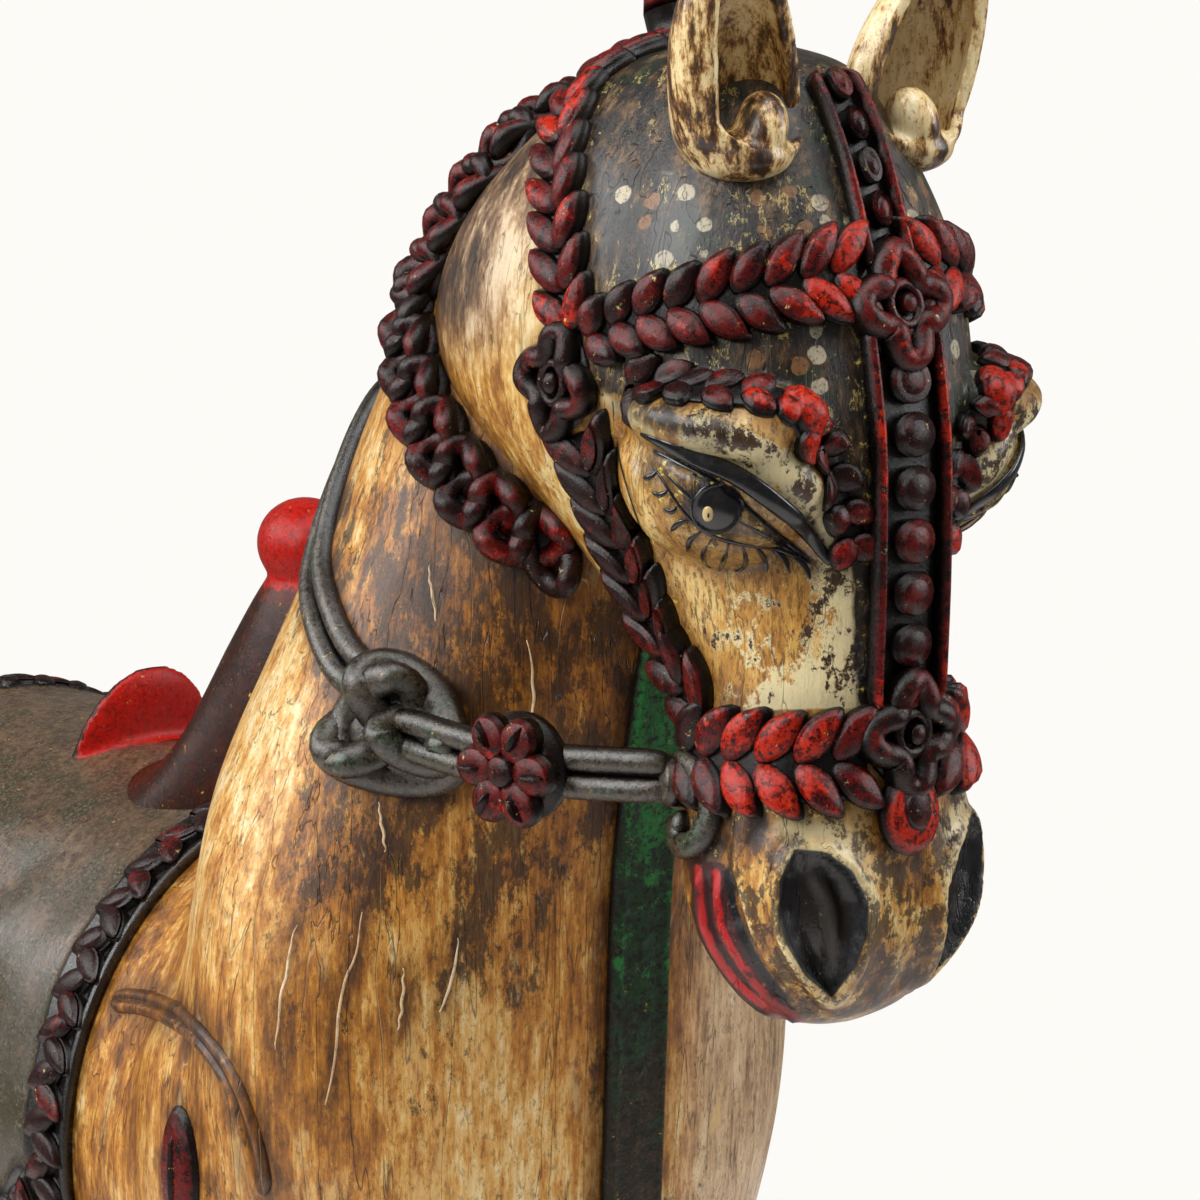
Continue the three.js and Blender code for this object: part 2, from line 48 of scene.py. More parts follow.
# Camera: it also places what is carved on the near side, by where that is seen in the frame
EYE = Vector((-1.043, -1.487, 1.150))
AIM = Vector((-0.0935, -0.3556, 0.890))
LENS = 112.0
SENSOR = 36  # millimetres across
FRAME = 1200  # pixels across
LOOK = (AIM - EYE).normalized()
ACROSS = LOOK.cross(Vector((0, 0, 1))).normalized()
ABOVE = ACROSS.cross(LOOK)
PX_MM = 0.4  # one frame pixel at the head, in millimetres


def put(name, data):
    """A new object in the scene."""
    obj = bpy.data.objects.new(name, data)
    bpy.context.scene.collection.objects.link(obj)
    return obj


camera = put("camera", bpy.data.cameras.new("camera"))
camera.data.lens = LENS
camera.data.sensor_width = SENSOR
camera.location = EYE
camera.rotation_euler = LOOK.to_track_quat("-Z", "Y").to_euler()
bpy.context.scene.camera = camera


def ray(x, y):
    """The way from the camera through a frame point."""
    k = SENSOR / LENS / FRAME
    return (LOOK + ACROSS * ((x - FRAME / 2) * k) - ABOVE * ((y - FRAME / 2) * k)).normalized()


def seen(points):
    """Frame pixels of points in metres, all taken on the near side."""
    p = np.array(points, dtype=float)
    p[:, 0] = -np.abs(p[:, 0])
    v = p - np.array(EYE)
    s = LENS / SENSOR * FRAME / (v @ np.array(LOOK))
    return np.stack([FRAME / 2 + s * (v @ np.array(ACROSS)), FRAME / 2 - s * (v @ np.array(ABOVE))], axis=1)


def along(rows, t):
    """Catmull-Rom through rows of numbers."""
    i = min(max(int(math.floor(t)), 0), len(rows) - 2)
    s = t - i
    last = len(rows) - 1
    a, b, d, e = (np.array(rows[min(max(n, 0), last)], dtype=float) for n in (i - 1, i, i + 1, i + 2))
    return (b * (1 + s * s * (2 * s - 3)) + d * s * s * (3 - 2 * s)
            + (d - a) / 2 * s * (1 - s) ** 2 - (e - b) / 2 * s * s * (1 - s))


def spot(forward, right, up):
    return Vector((-right, -forward, GROUND + up)) * MM


# The horse's form, in sections. A row of BODY, TAIL and SADDLE holds the places of its two edges (forward and
# up each), half its width, and how much narrower it is at the first edge than at the second.
BODY = [
    (-354, 598, -352, 566, 30, 0), (-346, 650, -336, 492, 86, 0), (-312, 682, -280, 430, 124, 0),
    (-235, 694, -195, 400, 142, 0), (-120, 688, -100, 386, 148, 0), (-10, 686, 15, 380, 148, 0),
    (42, 692, 135, 384, 148, 0), (56, 706, 225, 420, 152, 0.05), (60, 730, 258, 500, 156, 0.1),
    (66, 762, 266, 600, 150, 0.15), (82, 806, 270, 690, 125, 0.16), (100, 856, 280, 757, 100, 0.16),
    (124, 908, 292, 812, 82, 0.12), (154, 960, 304, 852, 70, 0.08), (196, 1008, 316, 890, 60, 0),
    (262, 1036, 340, 940, 52, 0), (330, 1040, 370, 990, 30, 0),
]
# Up, front, back, half width, squareness
HEAD = [
    (1058, 352, 300, 16, 2), (1048, 383, 272, 44, 2), (1020, 402, 236, 66, 2.2), (990, 414, 208, 80, 2.5),
    (960, 424, 190, 86, 2.6), (932, 430, 186, 87, 2.6), (905, 434, 196, 84, 2.4), (875, 435, 228, 75, 2.1),
    (845, 435, 264, 63, 2.1), (815, 434, 298, 54, 2.2), (785, 433, 332, 53, 2.4), (755, 434, 343, 58, 2.7),
    (728, 437, 348, 62, 3), (703, 436, 352, 60, 3), (683, 429, 358, 50, 2.6), (667, 418, 366, 38, 2.2),
    (659, 405, 380, 16, 2),
]
# Up, middle, half depth, half width, distance from the middle of the horse
FORE_LEG = [
    (632, 132, 14, 14, 122), (620, 131, 42, 34, 115), (592, 131, 64, 46, 110), (545, 132, 74, 52, 106),
    (490, 134, 70, 51, 102), (430, 138, 56, 45, 98), (370, 142, 42, 37, 94), (300, 146, 33, 31, 92),
    (262, 147, 33, 32, 92), (235, 148, 33, 32, 92), (205, 148, 25, 25, 92), (140, 150, 22, 22, 92),
    (95, 151, 27, 26, 92), (68, 155, 24, 24, 92), (50, 159, 32, 30, 92), (0, 165, 42, 38, 92),
]
HIND_LEG = [
    (640, -236, 18, 14, 122), (625, -236, 54, 36, 115), (590, -236, 82, 48, 110), (535, -237, 98, 54, 104),
    (470, -232, 92, 52, 102), (410, -222, 72, 46, 98), (350, -222, 54, 38, 95), (300, -236, 42, 32, 93),
    (262, -254, 37, 30, 92), (235, -262, 34, 28, 92), (200, -258, 27, 25, 92), (140, -248, 23, 22, 92),
    (95, -243, 28, 26, 92), (68, -239, 25, 24, 92), (50, -234, 32, 30, 92), (0, -227, 43, 38, 92),
]
TAIL = [
    (-322, 690, -325, 645, 20, 0), (-372, 690, -346, 640, 29, 0), (-400, 650, -354, 600, 34, 0),
    (-410, 580, -354, 545, 36, 0), (-406, 480, -350, 452, 38, 0), (-393, 380, -341, 362, 34, 0),
    (-378, 300, -339, 286, 25, 0), (-364, 240, -343, 233, 10, 0),
]
SADDLE = [
    (-170, 680, -165, 640, 40, 0), (-160, 690, -160, 620, 62, 0), (-130, 694, -130, 610, 68, 0),
    (-95, 690, -95, 610, 68, 0), (-62, 698, -60, 610, 66, 0), (-36, 726, -25, 610, 58, 0),
    (-12, 776, 20, 612, 44, 0), (14, 808, 44, 625, 35, 0), (38, 806, 56, 650, 26, 0),
    (46, 792, 58, 690, 12, 0),
]
EAR = [
    (1009, 380, 16, 16, 43), (1022, 383, 25, 27, 44), (1042, 387, 27, 31, 47), (1066, 391, 25, 29, 52),
    (1088, 396, 18, 22, 57), (1105, 400, 10, 12, 61), (1115, 403, 3, 4, 64),
]


def paired(rows):
    def at(t, angle):
        af, au, bf, bu, half, narrow = along(rows, t)
        c = math.cos(angle)
        wide = half * math.sin(angle) * (1 - narrow * c)
        return spot((af + bf) / 2 + (af - bf) / 2 * c, wide, (au + bu) / 2 + (au - bu) / 2 * c)
    return at


def oval(middle, half, angle, square, trig):
    v = trig(angle)
    return middle + half * math.copysign(abs(v) ** (2 / square), v)


def head_at(t, angle):
    up, front, back, half, square = along(HEAD, t)
    forward = oval((front + back) / 2, (front - back) / 2, angle, square, math.cos)
    return spot(forward, oval(0, half, angle, square, math.sin), up)


def leg(rows, side):
    def at(t, angle):
        up, middle, deep, wide, apart = along(rows, t)
        return spot(middle + deep * math.cos(angle), side * apart + wide * math.sin(angle), up)
    return at


# Mesh helpers
def turns(count):
    """Angles evenly round a circle."""
    return [math.tau * i / count for i in range(count)]


def swept(bm, rings, closed=False):
    """A circle extruded from ring to ring of places; when closed, the last ring is bridged to the first."""
    line = bmesh.ops.create_circle(bm, segments=len(rings[0]), radius=1)["verts"]
    for vert, place in zip(line, rings[0]):
        vert.co = place
    first = edges = list({edge for vert in line for edge in vert.link_edges})
    made = list(line)
    for ring in rings[1:]:
        order = {vert: i for i, vert in enumerate(line)}
        new = bmesh.ops.extrude_edge_only(bm, edges=edges)["geom"]
        edges = [g for g in new if isinstance(g, bmesh.types.BMEdge) and g.is_boundary]
        line = [None] * len(line)
        for vert in (g for g in new if isinstance(g, bmesh.types.BMVert)):
            old = next(e.other_vert(vert) for e in vert.link_edges if e.other_vert(vert) in order)
            line[order[old]] = vert
        for vert, place in zip(line, ring):
            vert.co = place
        made += line
    if closed:
        bmesh.ops.bridge_loops(bm, edges=first + edges)
    else:
        bmesh.ops.edgeloop_fill(bm, edges=first)
        bmesh.ops.edgeloop_fill(bm, edges=edges)
    return made


def skin(bm, surface, count, around, rings):
    step = (count - 1) / (rings - 1)
    swept(bm, [[surface(r * step, a) for a in turns(around)] for r in range(rings)])


def ball(bm, centre, radii, turn=None, cuts=24):
    verts = bmesh.ops.create_uvsphere(bm, u_segments=cuts, v_segments=cuts // 2, radius=1)["verts"]
    bmesh.ops.scale(bm, vec=[r * MM for r in radii], verts=verts)
    if turn is not None:
        bmesh.ops.rotate(bm, matrix=turn, verts=verts)
    bmesh.ops.translate(bm, vec=centre, verts=verts)


def piece(name, bm, material, node="horse", smooth=True):
    bmesh.ops.recalc_face_normals(bm, faces=bm.faces)
    mesh = bpy.data.meshes.new(name)
    bm.to_mesh(mesh)
    bm.free()
    obj = put(name, mesh)
    mesh.materials.append(material)
    if smooth:
        mesh.shade_smooth()
    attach(obj, "root")
    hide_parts(node)
    return obj


def modify(obj, kind, **settings):
    modifier = obj.modifiers.new(kind.lower(), kind)
    for key, value in settings.items():
        setattr(modifier, key, value)


def settle(obj):
    """Makes the modifiers' result the mesh itself."""
    mesh = bpy.data.meshes.new_from_object(obj.evaluated_get(bpy.context.evaluated_depsgraph_get()))
    old = obj.data
    obj.modifiers.clear()
    obj.data = mesh
    mesh.name = obj.name
    bpy.data.meshes.remove(old)
    mesh.shade_smooth()


def fused(obj, voxel, rounds):
    """One skin over parts that pass into each other, its creases eased as a carver's rasp leaves them."""
    modify(obj, "REMESH", mode="VOXEL", voxel_size=voxel * MM, use_smooth_shade=True)
    modify(obj, "SMOOTH", factor=0.5, iterations=rounds)
    settle(obj)


def read(mesh, what):
    flat = np.empty(len(mesh.vertices) * 3)
    mesh.vertices.foreach_get(what, flat)
    return flat.reshape(-1, 3)


def write(mesh, places):
    mesh.vertices.foreach_set("co", places.ravel())
    mesh.update()


def mark(obj, name, values):
    """Marks each point with its value, or all of them with one value."""
    attribute = obj.data.attributes.new(name, "FLOAT", "POINT")
    attribute.data.foreach_set("value", np.full(len(obj.data.vertices), values, dtype=np.float32))


def mark_relief(obj, mm):
    """Marks worn crests and hollows by how the surface bends. Hollows get dirt and painted shade on body and
    face, painted light in the ears.
    """
    mesh = obj.data
    p, n = read(mesh, "co"), read(mesh, "normal")
    ends = np.empty(len(mesh.edges) * 2, dtype=np.int64)
    mesh.edges.foreach_get("vertices", ends)
    a, b = ends[0::2], ends[1::2]
    bend = np.zeros(len(p))
    count = np.zeros(len(p))
    for u, v in ((a, b), (b, a)):
        np.add.at(bend, u, ((p[v] - p[u]) * n[u]).sum(1))
        np.add.at(count, u, 1)
    bend /= np.maximum(count, 1) * mm * MM
    for _ in range(4):
        spread = np.zeros(len(p))
        for u, v in ((a, b), (b, a)):
            np.add.at(spread, u, bend[v])
        bend = 0.5 * bend + 0.5 * spread / np.maximum(count, 1)
    mark(obj, "worn", np.clip(-bend, 0, 1))
    mark(obj, "hollow", np.clip(bend, 0, 1))


def from_line(points, line):
    """Distance of frame points from a line, and the share of the line at the nearest place."""
    best = np.full(len(points), 1e9)
    share = np.zeros(len(points))
    line = np.array(line, dtype=float)
    for i, (a, b) in enumerate(zip(line, line[1:])):
        ab = b - a
        s = np.clip(((points - a) @ ab) / max(ab @ ab, 1e-9), 0, 1)
        d = np.linalg.norm(points - a - s[:, None] * ab, axis=1)
        near = d < best
        best[near] = d[near]
        share[near] = (i + s[near]) / (len(line) - 1)
    return best, share


def inside(points, outline):
    """Signed distance in frame pixels from an outline, positive inside."""
    ring = [tuple(p) for p in outline] + [tuple(outline[0])]
    d, _ = from_line(points, ring)
    odd = np.zeros(len(points), dtype=bool)
    for (ax, ay), (bx, by) in zip(ring, ring[1:]):
        if ay != by:
            cross = (points[:, 1] < ay) != (points[:, 1] < by)
            odd ^= cross & (points[:, 0] < ax + (points[:, 1] - ay) / (by - ay) * (bx - ax))
    return np.where(odd, d, -d)


def curve_through(points, steps):
    return [tuple(along(points, i * (len(points) - 1) / steps)) for i in range(steps + 1)]


def bump(x):
    """A rounded rise from 0 at -1 and 1 to 1 at 0."""
    x = np.clip(np.abs(x), 0, 1)
    return (1 - x * x) ** 2


def brushed_zone(s, *strokes):
    """Soft brush marks along frame lines, the strongest at each point: (strength, half width in mm, line)."""
    return np.maximum.reduce([
        force * bump(from_line(s, line)[0] * PX_MM / half) for force, half, line in strokes])


# Finishes
def linear(code):
    rgb = [int(code[i:i + 2], 16) / 255 for i in (1, 3, 5)]
    return [c / 12.92 if c <= 0.04045 else ((c + 0.055) / 1.055) ** 2.4 for c in rgb] + [1]


def finish(name, roughness=0.3, coat=0.0):
    material = bpy.data.materials.new(name)
    material.use_nodes = True
    tree = material.node_tree
    shader = tree.nodes["Principled BSDF"]
    shader.inputs["Roughness"].default_value = roughness
    shader.inputs["Coat Weight"].default_value = coat
    shader.inputs["Coat Roughness"].default_value = 0.2

    def add(kind, *values, out=0, stops=(), onto=None, **named):
        """Adds a node: inputs in order or by name, settings by name, perhaps linked onto the shader."""
        node = tree.nodes.new("ShaderNode" + kind)
        for key in [key for key in named if key not in node.inputs]:
            setattr(node, key, named.pop(key))
        for socket, value in [*zip(node.inputs, values)] + [(node.inputs[key], named[key]) for key in named]:
            if isinstance(value, bpy.types.NodeSocket):
                tree.links.new(value, socket)
            else:
                socket.default_value = linear(value) if isinstance(value, str) else value
        if stops:
            ramp = node.color_ramp.elements
            for place, code in stops:
                ramp.new(place).color = linear(code)
            ramp.remove(ramp[0])
            ramp.remove(ramp[len(ramp) - 1])
        if onto:
            tree.links.new(node.outputs[out], shader.inputs[onto])
        return node.outputs[out]

    return material, add


SOFT = {"interpolation_type": "SMOOTHSTEP"}
TIMES = {"operation": "MULTIPLY"}
MINUS = {"operation": "SUBTRACT"}


def weighed(add, *parts):
    """The sum of values, each times its weight."""
    total, *rest = [add("Math", value, weight, **TIMES) for value, weight in parts]
    for share in rest:
        total = add("Math", total, share)
    return total


def hairlines(add, noise, width):
    """1 on the lines where a noise crosses its middle, 0 away from them."""
    off = add("Math", add("Math", noise, 0.5, **MINUS), 0, operation="ABSOLUTE")
    return add("MapRange", off, 0.0, width, 1, 0)


def coats(add, colour, *layers):
    """Coats of paint laid over a colour, each with the amount of it that covers."""
    for amount, paint in layers:
        colour = add("MixRGB", amount, colour, paint)
    return colour


def patterns(add, *rows):
    """Blotches and streaks: size in millimetres, detail, roughness, squeeze down the block, shift."""
    here = add("TexCoord", out="Object")
    return [add("TexNoise", add("Mapping", here, Location=shift or (0, 0, 0), Scale=(1, 1, squeeze)),
                Scale=1000 / mm, Detail=detail, Roughness=rough)
            for mm, detail, rough, squeeze, *shift in rows]


def marked(add, *names):
    """What the mesh is marked with under these names, from 0 to 1 unless its mark says otherwise."""
    return [add("Attribute", attribute_name=name, out="Fac") for name in names]


def varnished_body():
    # Cream oil paint over carved teak under amber varnish. It glows from pale honey to burnt brown in fine
    # streaks that run down the block, dirt and painted shade darken the hollows and the wood beside the
    # trims, and long drying cracks show pale ground.
    material, add = finish("amber_varnished_cream_paint_on_teak", coat=0.2)
    streak, broad, blot, fleck, glaze, rub, crack, gaps, check = patterns(
        add, (4.5, 8, 0.74, 0.11), (110, 6, 0.66, 0.45), (13, 10, 0.8, 0.45), (2.4, 5, 0.75, 0.5),
        (20, 11, 0.84, 0.5, 6, 1, 3), (22, 9, 0.76, 0.3, 3, 1, 2), (34, 3, 0.45, 0.055, 1, 5, 2),
        (60, 2, 0.5, 0.45), (18, 4, 0.5, 0.06, 7, 2, 2))
    worn, hollowness, dark, near, grey, hoof = marked(add, "worn", "hollow", "dark", "near", "bare", "hoof")
    sway = add("Math", blot, 0.5, **MINUS)
    # The dark mark deepens the tone, adds dark glaze and takes away rubbed cream as painted shade, and
    # lightens it where negative as painted highlight; hollows and the wood beside the trims darken as dirt
    # and painted shade
    tone = weighed(add, (streak, 0.48), (broad, 0.54), (sway, 0.5), (dark, 0.055), (near, 0.05), (hollowness, 0.18),
                   (worn, -0.2))
    amber = add("ValToRGB", tone, stops=[
        (0.37, "#f0d8a4"), (0.45, "#dba95a"), (0.52, "#b9792b"), (0.59, "#8d571f"), (0.68, "#5b3718"),
        (0.78, "#281910")])
    bare = add("ValToRGB", tone, stops=[
        (0.40, "#e6cfae"), (0.52, "#cbab84"), (0.62, "#93765a"), (0.74, "#4a382a")])
    soot = weighed(add, (glaze, 1), (dark, 0.085))
    rub = weighed(add, (rub, 1), (dark, -0.04))
    patchy = add("MapRange", gaps, 0.5, 0.58, 0, 1, **SOFT)
    crack = add("Math", hairlines(add, crack, 0.004), patchy, **TIMES)
    check = hairlines(add, check, 0.006)
    horn = add("MixRGB", add("MapRange", blot, 0.4, 0.6, 0, 1, **SOFT), "#2c211b", "#15100e")
    edge = add("Math", hoof, sway)
    # Near-black beside the trims: dirt and painted shade
    beside = add("Math", near, add("MapRange", blot, 0.35, 0.6, 0.25, 0.8), **TIMES)
    colour = coats(
        add, amber,
        (add("Math", grey, 0.92, **TIMES), bare),
        (add("MapRange", soot, 0.57, 0.625, 0, 0.82, **SOFT), "#2b1c13"),
        (add("MapRange", fleck, 0.52, 0.62, 0, 0.48, **SOFT), "#43290f"),
        (add("MapRange", rub, 0.56, 0.64, 0, 0.5, **SOFT), "#e6c27e"),
        (add("Math", crack, 0.7, **TIMES), "#c9aa7c"),
        (add("Math", check, 0.65, **TIMES), "#20130b"),
        (add("MapRange", edge, 0.45, 0.55, 0, 1, **SOFT), horn))
    add("MixRGB", beside, colour, "#160d08", onto="Base Color")
    add("MapRange", blot, 0.3, 0.7, 0.18, 0.46, onto="Roughness")
    height = weighed(add, (streak, 1), (fleck, 0.5), (crack, -1), (check, -1))
    add("Bump", Strength=0.7, Distance=1.1 * MM, Height=height, onto="Normal")
    return material


def skull_paint(add, blot, fleck):
    """The cap's green-black paint with brush dots and yellow flakes: its relief, its specks, its colour."""
    here = add("TexCoord", out="Object")
    rough, green, run, gaps, speck = patterns(
        add, (9, 8, 0.75, 0.35, 2, 2, 2), (34, 6, 0.68, 1), (40, 9, 0.72, 0.28, 1, 8, 2), (22, 3, 0.6, 1),
        (5, 8, 0.82, 1, 9, 3, 1))
    bent = add("MixRGB", 0.0035, here, add("TexNoise", here, Scale=1000 / 6, Detail=3, out="Color"),
               blend_type="ADD")
    dotted = {"feature": "F1", "Scale": 1000 / 12.5, "Randomness": 0.42}
    rim = weighed(add, (add("TexVoronoi", bent, **dotted), 1), (blot, 0.22))
    pick = add("SeparateColor", add("TexVoronoi", bent, out="Color", **dotted))
    brush = add("MixRGB", add("MapRange", pick, 0.55, 0.6, 0, 1, **SOFT), "#beb296", "#855c36")
    brush = add("MixRGB", add("MapRange", fleck, 0.52, 0.62, 0, 0.7, **SOFT), brush, "#3a3127")
    run = add("Math", hairlines(add, run, 0.0065), add("MapRange", gaps, 0.54, 0.58, 0, 1), **TIMES)
    brown = add("ValToRGB", rough,
                stops=[(0.40, "#0a0807"), (0.48, "#1f1913"), (0.54, "#43301f"), (0.61, "#745a3b")])
    inked = add("Math", add("MapRange", rim, 0.40, 0.44, 0.9, 0, **SOFT), *marked(add, "dotted"), **TIMES)
    return rough, speck, coats(
        add, brown,
        (add("MapRange", green, 0.53, 0.62, 0, 0.75, **SOFT), add("MixRGB", rough, "#0b140d", "#1c3a22")),
        (inked, brush),
        (run, "#dfc878"),
        (add("MapRange", speck, 0.655, 0.665, 0, 0.9), "#c9b483"))


def face_paint():
    # Cream paint on the face flaked back to brown ground, a dark green-black skull with brush dots, red lips
    # and blue-black nostrils, all under the same amber varnish.
    material, add = finish("flaked_cream_and_dark_face_paint", coat=0.25)
    streak, broad, blot, fleck, flake, crack = patterns(
        add, (4.5, 8, 0.74, 0.13), (60, 4, 0.6, 0.5), (13, 9, 0.76, 0.5), (1.9, 4, 0.7, 1),
        (11, 9, 0.78, 0.8, 4, 4, 1), (15, 3, 0.5, 0.09, 5, 5, 2))
    worn, hollowness, near, muzzle, greyed, pale, flaking, soot = marked(
        add, "worn", "hollow", "near", "muzzle", "greyed", "pale", "flake", "soot")
    panel, cap, lip_line, lips, rind, ink, inner = marked(
        add, "panel", "cap", "lipline", "lips", "rind", "ink", "inner")
    sway = add("Math", blot, 0.5, **MINUS)
    wander = add("Math", sway, 8.0, **TIMES)  # how far a painted edge strays, in millimetres
    # Hollows and the wood beside the trims darken the tone as dirt and painted shade
    tone = weighed(add, (streak, 0.4), (broad, 0.62), (sway, 0.75), (hollowness, 0.14), (near, 0.06),
                   (muzzle, 0.035), (worn, -0.13))
    amber = add("ValToRGB", tone, stops=[
        (0.38, "#efd9a2"), (0.46, "#d8ad60"), (0.53, "#b87f34"), (0.60, "#8c5a25"), (0.68, "#54351a"),
        (0.76, "#281910")])
    bare = add("MapRange", weighed(add, (flake, 1), (muzzle, 0.12)), 0.59, 0.64, 0, 1, **SOFT)
    rubbed = add("ValToRGB", tone,
                 stops=[(0.41, "#c9b29a"), (0.49, "#92785f"), (0.56, "#584432"), (0.65, "#261c15")])
    amber = coats(add, amber, (add("Math", bare, 0.85, **TIMES), "#2f1f15"),
                  (add("Math", greyed, 0.9, **TIMES), rubbed))
    ochre = add("ValToRGB", tone, stops=[
        (0.42, "#e8c67e"), (0.50, "#d3a253"), (0.58, "#bd8639"), (0.70, "#855622")])
    lean = add("Mapping", add("TexCoord", out="Object"), Scale=(1, 1, 0.3), Rotation=(0, 0.6, 0))
    fibre = add("TexNoise", lean, Scale=1000 / 2.2, Detail=6, Roughness=0.8)
    bright = add("MixRGB", add("MapRange", fibre, 0.5, 0.7, 0, 0.5, **SOFT), "#ecdcaa", "#b08848")
    left = weighed(add, (pale, 1), (add("Math", flake, 0.5, **MINUS), 2.4))
    chip = add("MapRange", weighed(add, (flake, 1), (flaking, 0.11)), 0.60, 0.62, 0, 1, **SOFT)
    cream = coats(
        add, ochre,
        (add("MapRange", fibre, 0.50, 0.56, 0, 0.75, **SOFT), "#6b4216"),
        (add("MapRange", left, 0.42, 0.52, 0, 1, **SOFT), bright),
        (chip, add("MixRGB", fleck, "#241811", "#5b3d20")))
    rough, speck, dark = skull_paint(add, blot, fleck)
    red = add("MixRGB", add("MapRange", lip_line, 0.25, 0.6, 0, 1, **SOFT), "#3c1012", "#b41114")
    red = add("MixRGB", add("MapRange", flake, 0.52, 0.58, 0, 0.8, **SOFT), red, "#2c1110")
    black = add("MixRGB", add("MapRange", flake, 0.52, 0.66, 0, 0.6, **SOFT), "#070b12", "#241d18")
    black = add("MixRGB", inner, black, "#1d1511")
    crack = hairlines(add, crack, 0.006)
    soot = add("Math", soot, add("MapRange", blot, 0.42, 0.56, 0.35, 1.0, **SOFT), **TIMES)
    colour = coats(
        add, amber,
        (add("MapRange", weighed(add, (panel, 1), (wander, 0.3)), -0.4, 0.4, 0, 1), cream),
        (add("MapRange", weighed(add, (cap, 1), (wander, 1)), -0.8, 0.8, 0, 1), dark),
        (add("MapRange", weighed(add, (lips, 1), (wander, 0.3)), -0.4, 0.4, 0, 1), red),
        (add("Math", rind, add("MapRange", flake, 0.52, 0.56, 0.95, 0.0), **TIMES), "#e6d3a0"),
        (add("MapRange", weighed(add, (ink, 1), (wander, 0.16)), -0.35, 0.35, 0, 1), black),
        (add("Math", crack, 0.5, **TIMES), "#2a1a10"),
        (add("Math", soot, 0.9, **TIMES), "#241810"),
        # Near-black beside the trims and in hollows: dirt and painted shade
        (weighed(add, (near, 0.4), (hollowness, 0.25)), "#150d08"))
    beside = add("MapRange", weighed(add, (speck, 1), (near, 0.085)), 0.655, 0.665, 0, 0.9)
    add("MixRGB", beside, colour, "#ead06c", onto="Base Color")
    add("MapRange", blot, 0.3, 0.7, 0.2, 0.42, onto="Roughness")
    height = weighed(add, (streak, 1), (rough, 1), (fleck, 0.5), (crack, -1), (chip, -0.6))
    add("Bump", Strength=0.6, Distance=0.9 * MM, Height=height, onto="Normal")
    return material


def trim_paint(name, under, over, top, chips, dust_and_sheen, gloss=0.32, grime=0.9):
    # Gloss paint over a darker coat on raised carving: bright on some crests, worn to the coat below on the
    # rest, black in the grooves with dirt and painted shade, gritty, with small chips to the pale ground.
    material, add = finish(name)
    material.node_tree.nodes["Principled BSDF"].inputs["Specular IOR Level"].default_value = gloss
    blot, broad, fleck, grit, chip = patterns(
        add, (8, 9, 0.78, 1), (22, 6, 0.68, 1, 3, 0, 1), (1.8, 5, 0.75, 1), (3.2, 7, 0.78, 1, 8, 2, 5),
        (6, 8, 0.82, 1, 5, 5, 5))
    lift, bright = marked(add, "lift", "bright")
    amount = weighed(add, (bright, 1), (broad, 1), (lift, 0.25), (add("Math", blot, 0.5, **MINUS), 0.9))
    crest = add("MixRGB", add("MapRange", fleck, 0.4, 0.65, 0, 1), top[1], top[2])
    colour = coats(
        add, add("MixRGB", add("MapRange", blot, 0.38, 0.6, 0, 1, **SOFT), under, over),
        (add("MapRange", amount, 0.82, 0.98, 0, 0.95, **SOFT), top[0]),
        (add("MapRange", amount, 1.1, 1.22, 0, 1, **SOFT), crest),
        (add("MapRange", weighed(add, (fleck, 1), (broad, 0.5)), 0.78, 0.92, 0, 0.3, **SOFT), dust_and_sheen),
        (add("MapRange", grit, 0.51, 0.56, 0, grime, **SOFT), "#110a08"),
        (add("MapRange", chip, 0.638, 0.646, 0, 1), chips))
    # Low parts of the carving go near-black: dirt and painted shade in the grooves
    groove = add("MapRange", weighed(add, (lift, 1), (blot, 0.5)), 0.72, 1.2, 1, 0, **SOFT)
    add("MixRGB", groove, colour, "#0e0a08", onto="Base Color")
    add("MapRange", blot, 0.40, 0.60, 0.08, 0.34, onto="Roughness")
    add("Bump", Strength=0.5, Distance=0.7 * MM, Height=weighed(add, (blot, 1), (fleck, 0.6)), onto="Normal")
    return material


def streaked_cream():
    # Cream oil paint with dark brown rubbed along the ears, painted paler in their cups and hollows as
    # painted light against the shade there.
    material, add = finish("streaked_cream_oil_paint", coat=0.2)
    streak, blot, fleck = patterns(
        add, (8, 8, 0.74, 0.2), (15, 9, 0.78, 0.45, 0, 2, 0), (2, 4, 0.7, 1))
    hollowness, cup, worn = marked(add, "hollow", "cup", "worn")
    # Cups and hollows lighten the tone: painted light
    tone = weighed(add, (streak, 0.5), (blot, 0.5), (hollowness, -0.07), (cup, -0.04), (worn, 0.04))
    colour = add("ValToRGB", tone, stops=[
        (0.42, "#f2e0b2"), (0.48, "#dfc38b"), (0.51, "#a57a45"), (0.54, "#4f341f"), (0.59, "#1c130d")])
    add("MixRGB", add("MapRange", fleck, 0.55, 0.7, 0, 0.6, **SOFT), colour, "#4a3220", onto="Base Color")
    add("MapRange", blot, 0.3, 0.7, 0.2, 0.42, onto="Roughness")
    add("Bump", Strength=0.4, Distance=0.7 * MM, Height=streak, onto="Normal")
    return material


def black_paint():
    # Blue-black gloss enamel brushed on lids, lashes and pupils, with a cream touch in the eye.
    material, add = finish("blue_black_gloss_enamel", coat=0.3)
    blot, = patterns(add, (8, 7, 0.7, 1))
    touch = add("MapRange", *marked(add, "bright"), 0.3, 0.6, 0, 1)
    colour = add("MixRGB", add("MapRange", blot, 0.45, 0.7, 0, 1, **SOFT), "#090b11", "#1f1a16")
    add("MixRGB", touch, colour, "#cdb27a", onto="Base Color")
    add("MapRange", blot, 0.3, 0.7, 0.16, 0.36, onto="Roughness")
    add("Bump", Strength=0.2, Distance=0.5 * MM, Height=blot, onto="Normal")
    return material


